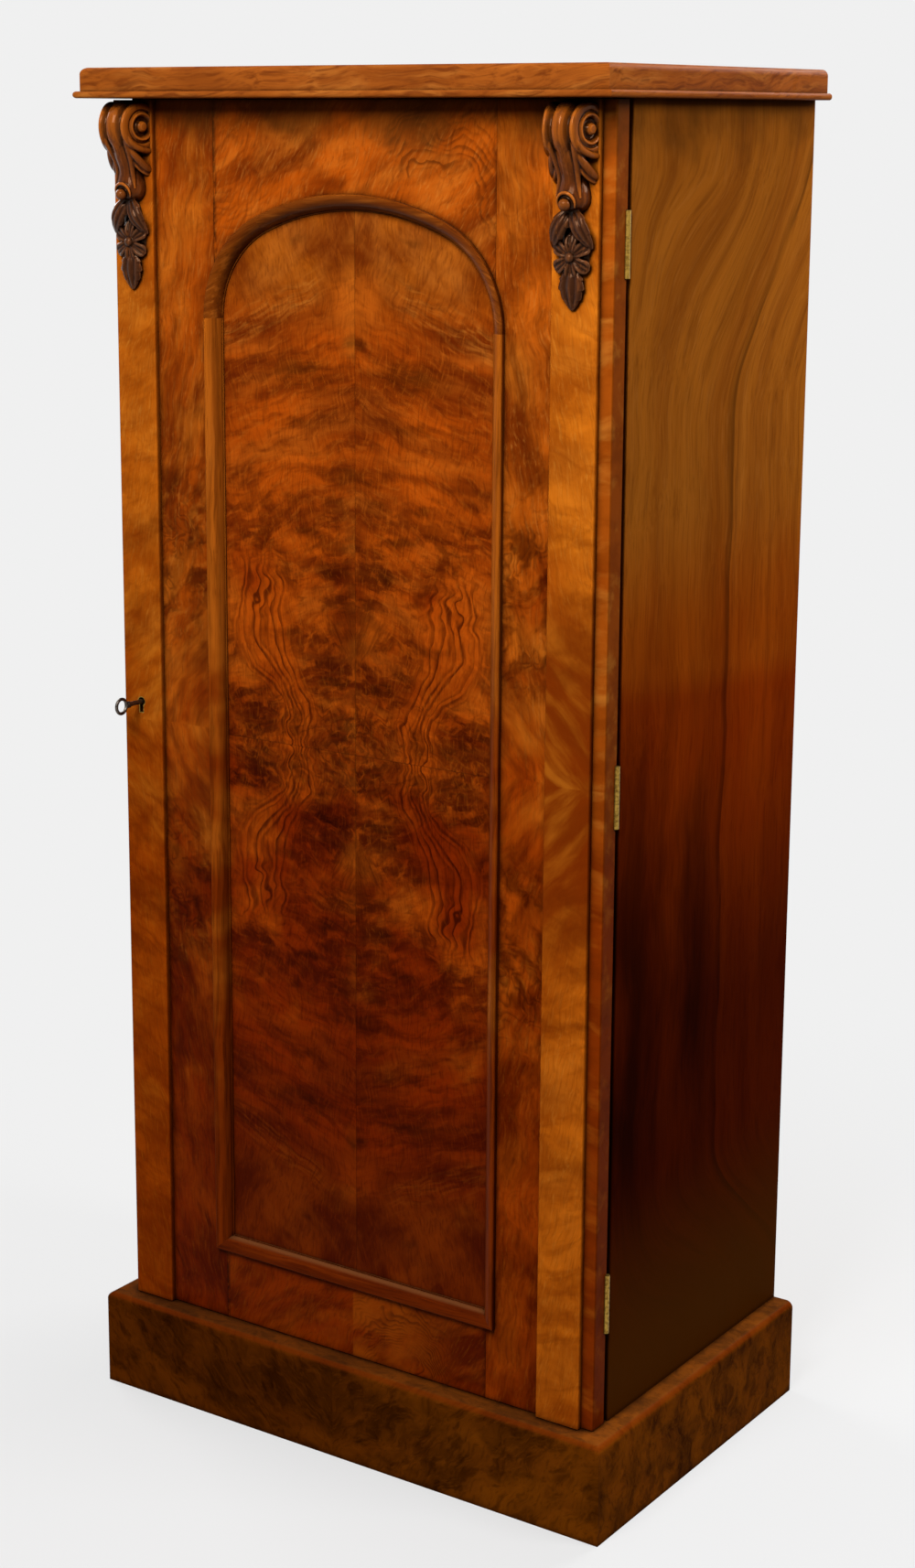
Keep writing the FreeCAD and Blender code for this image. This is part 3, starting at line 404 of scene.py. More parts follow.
def veneer(name, ground, layers, vee=(), burr=(), middle=(None, None), seed=0.0, knot=80.0, reach=30.0,
           curl=0.0, strip=None, dim=None, backed=False, lipped=False, **polish):
    """A leaf of figured walnut. vee lies near the middle seam, burr and its curls a hand's width above and
    below it. A strip of other veneer may cover the right edge, the leaf may be dim to the left, a backed
    board is plain behind, and a lipped one has its grain along the edges at its ends too."""
    made, tree, shader = new_material(name)
    place = place_mm(tree)
    here = add(tree, "SeparateXYZ", [place], give="X")
    at = matched(tree, place, *middle, seed=seed)
    if lipped:
        x, y, z = [add(tree, "SeparateXYZ", [at], give=axis) for axis in "XYZ"]
        at = add(tree, "MixRGB", [flanks(tree), at, add(tree, "CombineXYZ", [y, x, z])])
    flow = swirled(tree, at, knot, reach)
    colour = layered(tree, flow, linear(ground), layers)
    rise = add(tree, "SeparateXYZ", [at], give="Z")
    if vee:
        colour = layered(tree, flow, colour, vee, within(tree, (rise, *VEE_SPAN)))
    if burr:
        zone = within(tree, (rise, *BURR_FROM), (rise, *BURR_TO))
        knotty = swirled(tree, flow, *BURR_KNOT)
        colour = layered(tree, knotty, colour, burr, zone)
        patchy = scaled(tree, grain(tree, flow, *BURR_PATCH), zone, curl)
        curly = scaled(tree, curls(tree, knotty, *BURR_CURLS), patchy)
        colour = add(tree, "MixRGB", [curly, colour, linear(BURR_CURL_TONE)])
    if strip:
        edge, tone = strip
        band = layered(tree, flow, linear(tone), STRIP_FIGURE)
        beyond = within(tree, (here, edge - STRIP_SOFT, edge + STRIP_SOFT))
        colour = add(tree, "MixRGB", [beyond, colour, band])
    if dim:
        left = within(tree, (here, *dim))
        colour = add(tree, "MixRGB", [left, colour, linear(DIM_TONE)], blend_type="MULTIPLY")
    polished(tree, shader, colour, inner=backs(tree) if backed else None, **polish)
    return made


print("the vee of a leaf ends", VEE_SPAN[0], "mm from its seam, the burr", BURR_TO[0], "mm")

# %% [markdown]
# Each kind of board has its own leaves. A layer of one gives its tone, the length and the width of its
# streaks, their turn from level, the soft edge of their mask, and its strength. The left and the right boards
# mirror each other, so their turns only change sign.

# %% Leaves for each kind of board
FRAME_GROUND, PILASTER_GROUND = "#b04c08", "#c46410"
FRAME_BURR = (("#461301", 40, 24, 40, 0.42, 0.64, 0.75), ("#c06a1c", 30, 12, 50, 0.50, 0.74, 0.4))
PILASTER_BURR = (("#6e2a03", 60, 30, 20, 0.42, 0.66, 0.5),)


def stile_figure(side):
    """A stile's clouds and hair, steep, its vee and its burr. side is 1 on the left and -1 on the right."""
    clouds = (
        ("#621e02", 130, 60, 80 * side, 0.36, 0.64, 0.85),
        ("#cc6c18", 110, 40, 76 * side, 0.46, 0.72, 0.6),
        ("#4c1602", 90, 18, 76 * side, 0.46, 0.70, 0.55),
        ("#4e1a03", 28, 2.4, 86 * side, 0.44, 0.72, 0.4),
        ("#d08030", 22, 2.4, 84 * side, 0.50, 0.78, 0.3),
    )
    vee = (
        ("#c06818", 120, 34, 50 * side, 0.40, 0.66, 0.6),
        ("#702804", 110, 26, 54 * side, 0.42, 0.66, 0.6),
        ("#5a1d02", 90, 6, 50 * side, 0.50, 0.74, 0.35),
    )
    return clouds, vee, FRAME_BURR


def pilaster_figure(side, deep):
    """A pilaster's clouds, level and golden, the vee at its middle with a deep red share, and its burr."""
    clouds = (
        ("#823204", 130, 70, 14 * side, 0.34, 0.66, 0.7),
        ("#d67c20", 110, 50, 18 * side, 0.44, 0.74, 0.45),
        ("#7c3003", 90, 12, 24 * side, 0.48, 0.72, 0.45),
        ("#8a3a05", 60, 30, -34 * side, 0.44, 0.62, 0.3),
        ("#7a3806", 26, 2.4, 80 * side, 0.44, 0.72, 0.35),
        ("#dc8e30", 22, 2.2, 76 * side, 0.50, 0.78, 0.3),
    )
    vee = (
        ("#7a2c03", 300, 200, 0, 0.10, 0.30, deep),
        ("#cc761c", 110, 24, 44 * side, 0.42, 0.70, 0.5),
        ("#702903", 100, 20, 40 * side, 0.42, 0.68, 0.45),
    )
    return clouds, vee, PILASTER_BURR


def long_figure(turn):
    """Plain straight grain for mouldings and edges, turned to run along the piece or across it."""
    return (
        ("#5a2204", 260, 8, turn, 0.42, 0.64, 0.55),
        ("#a85a1a", 200, 5, turn, 0.48, 0.70, 0.5),
        ("#300f02", 90, 1.8, turn, 0.48, 0.70, 0.4),
    )


PLINTH_FIGURE = (
    ("#442c0a", 110, 60, 20, 0.36, 0.64, 0.7),
    ("#b07420", 80, 34, 35, 0.44, 0.72, 0.5),
    ("#341c05", 40, 16, 50, 0.46, 0.68, 0.55),
    ("#b07a26", 24, 4.0, 35, 0.48, 0.74, 0.4),
    ("#341e06", 18, 3.6, 60, 0.48, 0.72, 0.35),
)
TOP_FIGURE = (
    ("#7a3a10", 160, 40, 4, 0.38, 0.64, 0.7),
    ("#b8702c", 120, 14, 6, 0.46, 0.72, 0.6),
    ("#5a240a", 80, 5, 5, 0.47, 0.69, 0.7),
    ("#6a3010", 60, 2.0, 4, 0.46, 0.72, 0.55),
)
PINE_FIGURE = (
    ("#a87a3c", 300, 14, 90, 0.42, 0.66, 0.7),
    ("#8c5a26", 240, 3.0, 90, 0.50, 0.70, 0.5),
)
print(len(TOP_FIGURE), "layers on the top,", len(PLINTH_FIGURE), "on the plinth")

# %% [markdown]
# Each side is one wide leaf with a tall flame: its grain bends to the back at the head and the foot, round a
# dark line. Its upper part keeps a light colour, as a painted reflection. Below, painted shade makes it
# warmer, with a faint step at one level where that reflection ends, and browner towards the foot. The grain
# could be drawn straight and bent by a lattice, but here the bend is simply taken off its place.

# %% Side veneer
FLAME_LINE, FLAME_BEND, FLAME_SLICE = 68.0, 170.0, 5.0
FLAME_HEAD, FLAME_FOOT = (1130.0, 1440.0), (340.0, 150.0)
FLAME_DEPTH, FLAME_KNOT = (-150.0, 80.0, 0.3, 1.0), (200.0, 45.0)
FRONT_TONE, FRONT_SPAN, FRONT_GRAIN = "#2e1202", (30.0, -70.0), (300, 70, 90, 0.20, 0.66)
FRONT_HIGH, FRONT_LOW = (1050.0, 560.0, 0.2, 0.85), (250.0, 420.0, 0.4, 1.0)
LINE_TONE, LINE_FROM, LINE_TO = "#2a1004", (-16.0, 0.0), (3.0, 0.5, 0.0, 0.55)
LINE_GRAIN = (200, 30, 90, 0.30, 0.52)
# Painted reflection and shade of the side: below these heights it darkens, with a step where the reflection
# ends.
WARM_SHADE_TONE, WARM_SHADE_SPAN = "#eec08c", (1080.0, 900.0)
REFLECTION_EDGE_TONE, REFLECTION_EDGE_SPAN, REFLECTION_EDGE_SLOPE = "#e8c49c", (892.0, 850.0), 0.09
BROWN_SHADE_TONE, BROWN_SHADE_SPAN = "#968a24", (860.0, 480.0)
BASE_TONE, BASE_SPAN, BASE_SHARE = "#4c2a05", (380.0, 140.0), 0.8
INWARD = (-0.5, -0.9)
SIDE_GROUND = "#a05a16"
SIDE_FIGURE = (
    ("#7a3c0c", 600, 60, 90, 0.36, 0.66, 0.55),
    ("#a4601e", 420, 34, 88, 0.44, 0.74, 0.35),
    ("#542206", 560, 14, 90, 0.46, 0.74, 0.35),
    ("#5a2808", 60, 2.4, 90, 0.44, 0.72, 0.35),
    ("#b87430", 50, 2.2, 90, 0.50, 0.78, 0.25),
)


def side_veneer():
    """The flame of a side: streaks that follow a bent dark line, dark in front of it and orange behind."""
    made, tree, shader = new_material("side_walnut")
    at = place_mm(tree)
    across, depth, height = [add(tree, "SeparateXYZ", [at], give=axis) for axis in "XYZ"]
    ends = [within(tree, (height, *span)) for span in (FLAME_HEAD, FLAME_FOOT)]
    bend = scaled(tree, add(tree, "Math", ends, operation="ADD"), FLAME_BEND)
    bend = within(tree, (depth, *FLAME_DEPTH), share=bend)
    off = add(tree, "Math", [depth, FLAME_LINE], operation="SUBTRACT")
    off = add(tree, "Math", [off, bend], operation="SUBTRACT")
    flow = swirled(tree, add(tree, "CombineXYZ", [off, FLAME_SLICE, height]), *FLAME_KNOT)
    colour = layered(tree, flow, linear(SIDE_GROUND), SIDE_FIGURE)
    line = add(tree, "SeparateXYZ", [flow], give="X")
    front = within(tree, (line, *FRONT_SPAN), (height, *FRONT_HIGH), (height, *FRONT_LOW))
    edge = within(tree, (line, *LINE_FROM), (line, *LINE_TO))
    for tone, mask, streaks in ((FRONT_TONE, front, FRONT_GRAIN), (LINE_TONE, edge, LINE_GRAIN)):
        colour = add(tree, "MixRGB", [scaled(tree, mask, grain(tree, flow, *streaks)), colour, linear(tone)])
    # Painted reflection and shade: the side darkens below a level, with a step where the reflection on its
    # upper part ends.
    sloped = add(tree, "Math", [depth, REFLECTION_EDGE_SLOPE, height], operation="MULTIPLY_ADD")
    for tone, value, span in (
        (WARM_SHADE_TONE, height, WARM_SHADE_SPAN), (REFLECTION_EDGE_TONE, sloped, REFLECTION_EDGE_SPAN), (BROWN_SHADE_TONE, height, BROWN_SHADE_SPAN),
    ):
        below = within(tree, (value, *span))
        colour = add(tree, "MixRGB", [below, colour, linear(tone)], blend_type="MULTIPLY")
    base = within(tree, (height, *BASE_SPAN), share=BASE_SHARE)
    colour = add(tree, "MixRGB", [base, colour, linear(BASE_TONE)])
    outward = scaled(tree, add(tree, "Math", [across], operation="SIGN"), facing(tree, "X"))
    inner = within(tree, (outward, *INWARD))
    polished(tree, shader, colour, sheen=0.0006, foot_tone=NO_FOOT_SHADE_TONE, inner=inner)
    return made


# Above this height the side keeps the light colour of a painted reflection.
print("side bleached down to", REFLECTION_EDGE_SPAN[0], "mm")

# %% [markdown]
# The panel is the show piece: four leaves of burr walnut, opened like a book left to right and top to
# bottom. Growth rings run beside the centre and swing out in a long curve, and a fan of fine lines opens on
# the seam. A wave texture draws rings too, but always round one middle or along one line, so here they are
# the level lines of a lane that bends, and the fan is noise that is spread by its turn round a point.

# %% Rings and fan of the panel
RING_KNOT, RING_RISE = (60.0, 26.0), (40.0, 115.0)
RING_SIDE, RING_SPREAD = (78.0, 122.0), (0.85, 1.5)
RING_CURL, RING_CURLY_LOW, RING_CURLY_HIGH = 17.0, (75.0, 25.0, 3.0, 22.0), (118.0, 150.0, 0.0, 16.0)
RING_LANES, RING_END, RING_GAP = (34.0, 16.0), (215.0, 165.0), 7.5
YEAR_SIZE, YEAR_STRETCH, YEAR_SWING, YEAR_SPAN = 9.0, 0.12, 16.0, (0.40, 0.56, 0.5, 1.0)
RING_PATCH = (60, 46, 0, 0.20, 0.48)
FAN_KNOT, FAN_RISE, FAN_LINES, FAN_SLICE, FAN_SPAN = (30.0, 9.0), 88.0, 11.0, 3.0, (0.40, 0.64)
FAN_TURN, FAN_REACH = (0.85, 0.55), (85.0, 50.0)


def panel_rings(tree, at):
    """Growth rings beside the centre, close and curly by the level seam, wide where they have swung out."""
    pushed = swirled(tree, at, *RING_KNOT)
    across, rise = [add(tree, "SeparateXYZ", [pushed], give=axis) for axis in "XZ"]
    side, spread = [within(tree, (rise, *RING_RISE, *ends)) for ends in (RING_SIDE, RING_SPREAD)]
    lane = add(tree, "Math", [across, side], operation="SUBTRACT")
    lane = add(tree, "Math", [lane, spread], operation="DIVIDE")
    curl = add(tree, "TexNoise", {"Vector": at, "Scale": 1 / RING_CURL, "Detail": 0.0})
    curl = add(tree, "Math", [curl, 0.5], operation="SUBTRACT")
    curly = [within(tree, (rise, *span)) for span in (RING_CURLY_LOW, RING_CURLY_HIGH)]
    curly = add(tree, "Math", curly, operation="ADD")
    lane = add(tree, "Math", [curl, curly, lane], operation="MULTIPLY_ADD")
    near = add(tree, "Math", [lane], operation="ABSOLUTE")
    strip = within(tree, (near, *RING_LANES), (rise, *RING_END))
    drawn = add(tree, "CombineXYZ", [lane, 0.0, scaled(tree, rise, YEAR_STRETCH)])
    year = add(tree, "TexNoise", {"Vector": drawn, "Scale": 1 / YEAR_SIZE})
    lane = add(tree, "Math", [year, YEAR_SWING, lane], operation="MULTIPLY_ADD")
    broken = within(tree, (year, *YEAR_SPAN), share=grain(tree, at, *RING_PATCH))
    return scaled(tree, lines(tree, lane, RING_GAP), strip, broken), strip


def panel_fan(tree, at):
    """Fine lines that fan out from a point on the upright seam."""
    pushed = swirled(tree, at, *FAN_KNOT)
    off = add(tree, "VectorMath", [pushed, (0.0, 0.0, FAN_RISE)], operation="SUBTRACT")
    across, rise = [add(tree, "SeparateXYZ", [off], give=axis) for axis in "XZ"]
    turn = add(tree, "Math", [across, rise], operation="ARCTAN2")
    far = far_from(tree, pushed, (0.0, FAN_RISE))
    far_share = scaled(tree, far, 1 / FAN_REACH[0])
    spread = add(tree, "CombineXYZ", [scaled(tree, turn, FAN_LINES), FAN_SLICE, far_share])
    fan = add(tree, "TexNoise", {"Vector": spread, "Scale": 1.0, "Detail": 3.0})
    inside = within(tree, (turn, *FAN_TURN), (far, *FAN_REACH))
    return within(tree, (fan, *FAN_SPAN), share=inside), inside


print("panel rings", RING_GAP, "mm apart")

# %% [markdown]
# Soft dark smudges pair up over the panel like the marks on a moth. Further out the figure lies in broad
# level arcs, up to a combed band with a bright drop in its middle, and beyond that it is calm. A leaf shines
# differently from its mirror image, so the seam is bright on its left and dull on its right. One quarter is
# drawn and mirrored, from the ground and the streaks to the rings, the smudges and the pores.

# %% Panel of burr walnut
PANEL_SEAM, PANEL_SLICE = 784.0, 40.0
PANEL_GROUND, CALM_GROUND = "#b04907", "#964809"
PANEL_KNOT, PANEL_BEND, PANEL_BUD, SMUDGE_KNOT = (70.0, 34.0), (60.0, 40.0), (18.0, 14.0), (26.0, 22.0)
PANEL_STREAKS = (
    ("#601c02", 170, 60, -10, 0.36, 0.64, 0.85),
    ("#c06016", 150, 30, -14, 0.44, 0.72, 0.45),
    ("#561802", 130, 22, -12, 0.42, 0.68, 0.6),
    ("#4a1202", 46, 10, -18, 0.46, 0.70, 0.5),
    ("#c8681a", 24, 5, -30, 0.50, 0.78, 0.3),
)
CALM_STREAKS = (
    ("#5c1c03", 130, 50, 40, 0.36, 0.64, 0.8),
    ("#c06a20", 110, 36, -50, 0.44, 0.74, 0.5),
    ("#6a2804", 120, 10, 60, 0.46, 0.72, 0.4),
)
COMB_STREAKS = (("#c87828", 46, 4.6, -26, 0.40, 0.78, 0.5), ("#561f04", 60, 5.4, -24, 0.44, 0.70, 0.6))
PANEL_BURR = (("#3c0c01", 44, 20, -10, 0.44, 0.62, 0.66), ("#c4560c", 26, 10, -24, 0.48, 0.70, 0.55))
CORE_STREAKS = (("#420d01", 60, 26, 25, 0.36, 0.62, 0.26),)
PANEL_HAIR = (("#4a1602", 26, 2.4, 84, 0.44, 0.72, 0.4), ("#c06014", 20, 2.4, 80, 0.50, 0.78, 0.3))
CALM_SPAN, PANEL_BURR_SPAN = (420.0, 500.0), (360.0, 180.0)
COMB_RISE, COMB_SLOPE, COMB_SPAN, COMB_SIDE = 503.0, 0.46, (26.0, 6.0), (24.0, 60.0)
CORE_HALF, CORE_SPAN = (185.0, 190.0), (1.0, 0.3)
FIBRES, FIBRE_SHARE = (26, 6, -14, 0.30, 0.62), (0.45, 1.0)
FAN_GROUND, FAN_TONE = ("#98480c", 0.4), ("#5a2003", 0.45)
RING_GROUND, RING_TONE = ("#be4e08", 0.55), ("#400e01", 0.85)
LIGHT_TONE, SMUDGE_TONE = "#c45e12", "#2c0b01"
LIGHTS = (
    (0, 470, 36, 34, 0.65), (156, 150, 28, 48, 0.6), (34, 52, 26, 6, 0.4), (146, 72, 30, 16, 0.5),
    (90, 310, 70, 10, 0.4),
)
SMUDGES = (
    (31, 74, 20, 11, 0.8), (124, 20, 34, 14, 0.65), (78, 20, 12, 20, 0.6), (88, 118, 22, 9, 0.45),
    (34, 192, 18, 10, 0.6), (58, 228, 22, 8, 0.65), (80, 263, 13, 6, 0.6), (22, 264, 16, 9, 0.5),
    (8, 290, 44, 8, 0.45), (74, 340, 30, 8, 0.45), (70, 396, 52, 20, 0.65), (3, 428, 14, 9, 0.7),
    (72, 528, 14, 5, 0.4),
)
CURL_TONE, CURL_SPAN, CURL_SHARE = "#2a0801", (110.0, 40.0), 0.45
CURL_SIZES, CURL_PATCH = (26.0, 8.0), (50, 34, 0, 0.44, 0.60)
SHINE_SPAN, SHINE_SLICE, SHINE_GRAIN = (26.0, 0.0), 9.0, (50, 50, 0, 0.44, 0.64)
LEFT_SHINE, RIGHT_SHINE, RIGHT_SPAN = ("#c06a1c", 0.28), ("#4a1802", 0.3), (-0.5, 0.5)
SEAM_SPAN, SEAM_SHARE = (0.8, 0.2), 0.35


def panel_streaks(tree, at, flow, knotty):
    """The ground of a quarter of the panel, with its streaks, its comb, its burr and its dark core."""
    across, rise = [add(tree, "SeparateXYZ", [at], give=axis) for axis in "XZ"]
    calm = within(tree, (rise, *CALM_SPAN))
    lively = add(tree, "Math", [1.0, calm], operation="SUBTRACT")
    slope = add(tree, "Math", [across, COMB_SLOPE, rise], operation="MULTIPLY_ADD")
    slope = add(tree, "Math", [slope, COMB_RISE], operation="SUBTRACT")
    slope = add(tree, "Math", [slope], operation="ABSOLUTE")
    comb = within(tree, (slope, *COMB_SPAN), (across, *COMB_SIDE))
    burr = within(tree, (rise, *PANEL_BURR_SPAN))
    core = within(tree, (far_from(tree, at, (0.0, 0.0), CORE_HALF), *CORE_SPAN))
    colour = add(tree, "MixRGB", [calm, linear(PANEL_GROUND), linear(CALM_GROUND)])
    for laid, layers, keep in (
        (flow, CALM_STREAKS, calm), (flow, PANEL_STREAKS, lively), (flow, COMB_STREAKS, comb),
        (knotty, PANEL_BURR, burr), (knotty, CORE_STREAKS, core),
    ):
        colour = layered(tree, laid, colour, layers, keep)
    return colour


def panel_veneer():
    """Quarter-matched burr walnut for the panel."""
    made, tree, shader = new_material("panel_burr_walnut")
    place = place_mm(tree)
    at = matched(tree, place, 0.0, PANEL_SEAM, seed=PANEL_SLICE)
    across, rise = [add(tree, "SeparateXYZ", [at], give=axis) for axis in "XZ"]
    flow, near = swirled(tree, at, *PANEL_KNOT), swirled(tree, at, *SMUDGE_KNOT)
    knotty = swirled(tree, swirled(tree, at, *PANEL_BEND), *PANEL_BUD)
    colour = panel_streaks(tree, at, flow, knotty)
    fibres = within(tree, (grain(tree, flow, *FIBRES), 0.0, 1.0, *FIBRE_SHARE))
    colour = smudged(tree, near, colour, LIGHT_TONE, LIGHTS, fibres)
    fan, fan_zone = panel_fan(tree, at)
    ring, ring_zone = panel_rings(tree, at)
    for mask, (tone, share) in zip(
        (fan_zone, fan, ring_zone, ring), (FAN_GROUND, FAN_TONE, RING_GROUND, RING_TONE),
    ):
        colour = add(tree, "MixRGB", [scaled(tree, mask, share), colour, linear(tone)])
    colour = smudged(tree, near, colour, SMUDGE_TONE, SMUDGES, fibres)
    patchy = within(tree, (rise, *CURL_SPAN), share=grain(tree, knotty, *CURL_PATCH))
    curly = scaled(tree, curls(tree, knotty, *CURL_SIZES), patchy, CURL_SHARE)
    colour = add(tree, "MixRGB", [curly, colour, linear(CURL_TONE)])
    colour = layered(tree, flow, colour, PANEL_HAIR)
    right = within(tree, (add(tree, "SeparateXYZ", [place], give="X"), *RIGHT_SPAN))
    left = add(tree, "Math", [1.0, right], operation="SUBTRACT")
    glints = grain(tree, add(tree, "CombineXYZ", [SHINE_SLICE, 0.0, rise]), *SHINE_GRAIN)
    shine = within(tree, (across, *SHINE_SPAN), share=glints)
    for half, (tone, share) in ((left, LEFT_SHINE), (right, RIGHT_SHINE)):
        colour = add(tree, "MixRGB", [scaled(tree, shine, half, share), colour, linear(tone)])
    for off in (across, rise):
        seam = within(tree, (off, *SEAM_SPAN), share=SEAM_SHARE)
        colour = add(tree, "MixRGB", [seam, colour, linear(SHADE_AND_DIRT_TONE)])
    polished(tree, shader, colour, inner=backs(tree))
    return made


print(len(SMUDGES), "smudges and", len(LIGHTS), "lights in each quarter of the panel")

# %% [markdown]
# The corbels are carved from solid walnut. Painted shade darkens the hollows and the deep places, and the
# ridges are worn bright, with a painted highlight, most of all on the roll at the top. That could be painted
# by hand, but the mesh knows it already: its pointiness tells ridges from hollows, and ambient occlusion
# finds the deep places. The neck is darkened and the roll lightened as painted shade and light.

# %% Carved walnut
HOLLOW, RIDGE = (0.465, 0.498, 0.9, 0.0), (0.503, 0.535)
DROP_TO_NECK, NECK_TO_ROLL = (1335.0, 1360.0), (1380.0, 1418.0)
# The neck's tone is painted shade and the roll's is painted light.
DROP_TONE, NECK_SHADE_TONE, ROLL_LIGHT_TONE = "#381a0a", "#5a2808", "#8c460e"
# Worn ridges, lightened further as a painted highlight.
DROP_WORN_GLINT, SCROLL_WORN_GLINT, WORN_GLINT_SHARE = "#8c5a38", "#c0681e", (0.4, 0.75)
# Tones of painted shade in the hollows and the deep places.
HOLLOW_SHADE_TONE, DEEP_SHADE_TONE = "#180802", "#120602"
CARVED_DEPTH, DEEP_SPAN, CARVED_KNOT = 14.0, (0.97, 0.52, 0.0, 0.96), (30.0, 8.0)
CARVED_ROUGH, CARVED_SHEEN, CARVED_TINT = 0.14, 0.18, "#e8b48c"
CARVED_FIGURE = (("#34160a", 60, 5, 88, 0.45, 0.64, 0.5), ("#84461c", 50, 3, 85, 0.52, 0.68, 0.4))


def carved_finish():
    """Carved walnut: painted shade in the hollows and on the neck, painted light on the roll, and worn ridges
    with a painted highlight.
    """
    made, tree, shader = new_material("carved_walnut")
    at = place_mm(tree)
    height = add(tree, "SeparateXYZ", [at], give="Z")
    scroll, roll = [within(tree, (height, *span)) for span in (DROP_TO_NECK, NECK_TO_ROLL)]
    # Painted light and shade: the neck darker, the roll at the top lighter.
    colour = add(tree, "MixRGB", [scroll, linear(DROP_TONE), linear(NECK_SHADE_TONE)])
    colour = add(tree, "MixRGB", [roll, colour, linear(ROLL_LIGHT_TONE)])
    colour = layered(tree, swirled(tree, at, *CARVED_KNOT), colour, CARVED_FIGURE)
    curve = add(tree, "NewGeometry", give="Pointiness")
    # Worn ridges with a painted highlight.
    worn_glint = within(tree, (curve, *RIDGE), (scroll, 0.0, 1.0, *WORN_GLINT_SHARE))
    bright = add(tree, "MixRGB", [scroll, linear(DROP_WORN_GLINT), linear(SCROLL_WORN_GLINT)])
    # Painted shade in the hollows and the deep places.
    open_air = add(tree, "AmbientOcclusion", {"Distance": CARVED_DEPTH * MM}, give="AO", samples=AIR_SAMPLES)
    hollow_shade, deep = within(tree, (curve, *HOLLOW)), within(tree, (open_air, *DEEP_SPAN))
    for tone, mask in ((bright, worn_glint), (linear(HOLLOW_SHADE_TONE), hollow_shade), (linear(DEEP_SHADE_TONE), deep)):
        colour = add(tree, "MixRGB", [mask, colour, tone])
    tree.links.new(colour, shader.inputs["Base Color"])
    shader.inputs["Roughness"].default_value = CARVED_ROUGH
    shader.inputs["Specular IOR Level"].default_value = CARVED_SHEEN
    shader.inputs["Specular Tint"].default_value = linear(CARVED_TINT)
    return made


finish = {"carved_walnut": carved_finish()}
print("carving darkens within", CARVED_DEPTH, "mm")

# %% [markdown]
# The two rails have clouded leaves with growth rings round a few middles, and the bottom one is golden beside
# its middle. Where a rail meets a stile, old glue and dirt show as a dark, crumbly line. The joint is real in
# the joiner's model, but far too tight to be seen, so its dirt is drawn at the edge of each stile.

# %% Rails and their joints
RAIL_FIGURE = (
    ("#621e02", 120, 50, 20, 0.36, 0.64, 0.85),
    ("#c46a1c", 100, 36, 30, 0.46, 0.72, 0.55),
    ("#581d02", 90, 14, 35, 0.46, 0.70, 0.5),
    ("#4e1a03", 26, 2.4, 70, 0.44, 0.72, 0.4),
    ("#d08030", 20, 2.4, 60, 0.50, 0.78, 0.3),
)
RAIL_KNOT, RAIL_BEND, RAIL_WAVE = (80.0, 30.0), (50.0, 60.0), (16.0, 9.0)
GOLD_TONE, GOLD_EDGE, GOLD_PATCH = "#c87020", 2.0, (60, 40, 20, 0.32, 0.60)
ROUND_TONE, ROUND_START, ROUND_END, ROUND_SIDE = "#3a1203", 12.0, 20.0, (80.0, 40.0)
ROUND_PATCH = (40, 30, 0, 0.36, 0.56)
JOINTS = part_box("lock_stile")[1].x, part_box("hinge_stile")[0].x
JOINT_SPAN, JOINT_DIRT = (1.1, 0.3), (0.8, 0.45)
SMEAR_TONE, SMEAR_SPAN, SMEAR_KNOT, SMEAR_GRAIN = "#2c1204", (6.0, 1.0), (6.0, 4.0), (16, 5, 90, 0.34, 0.58)


def away_from(tree, here, x):
    """How far a place lies to the left or the right of an x."""
    off = add(tree, "Math", [here, x], operation="SUBTRACT")
    return add(tree, "Math", [off], operation="ABSOLUTE")


def rail_veneer(node, seed, lit, rounds, foot_tone=FOOT_SHADE_TONE):
    """A rail: clouds, a golden patch from one x to another, and growth rings round some middles, each given
    by its x and z, the nearest and the farthest ring, the gap and the strength. Its ends show the joints."""
    made, tree, shader = new_material(node + "_walnut")
    at = place_mm(tree)
    here = add(tree, "SeparateXYZ", [at], give="X")
    deep = add(tree, "VectorMath", [at, (0.0, seed, 0.0)], operation="ADD")
    flow = swirled(tree, deep, *RAIL_KNOT)
    colour = layered(tree, flow, linear(FRAME_GROUND), RAIL_FIGURE)
    start, end, fade, gold = lit
    golden = within(tree, (here, start, start + GOLD_EDGE), (here, end, end - fade), share=gold)
    golden = scaled(tree, golden, grain(tree, flow, *GOLD_PATCH))
    colour = add(tree, "MixRGB", [golden, colour, linear(GOLD_TONE)])
    wavy = swirled(tree, swirled(tree, deep, *RAIL_BEND), *RAIL_WAVE)
    for x, z, near, far, gap, strength in rounds:
        off = far_from(tree, wavy, (x, z))
        zone = within(tree, (off, near, near + ROUND_START), (off, far, far - ROUND_END),
                      (away_from(tree, here, x), *ROUND_SIDE), share=strength)
        ring = scaled(tree, lines(tree, off, gap), zone, grain(tree, flow, *ROUND_PATCH))
        colour = add(tree, "MixRGB", [ring, colour, linear(ROUND_TONE)])
    crumbly = grain(tree, swirled(tree, at, *SMEAR_KNOT), *SMEAR_GRAIN)
    for joint, dirt in zip(JOINTS, JOINT_DIRT):
        off = away_from(tree, here, joint / MM)
        smear = scaled(tree, within(tree, (off, *SMEAR_SPAN), share=dirt), crumbly)
        crack = within(tree, (off, *JOINT_SPAN), share=dirt)
        for tone, mask in ((SMEAR_TONE, smear), (SHADE_AND_DIRT_TONE, crack)):
            colour = add(tree, "MixRGB", [mask, colour, linear(tone)])
    polished(tree, shader, colour, foot_tone=foot_tone, inner=backs(tree))
    return made


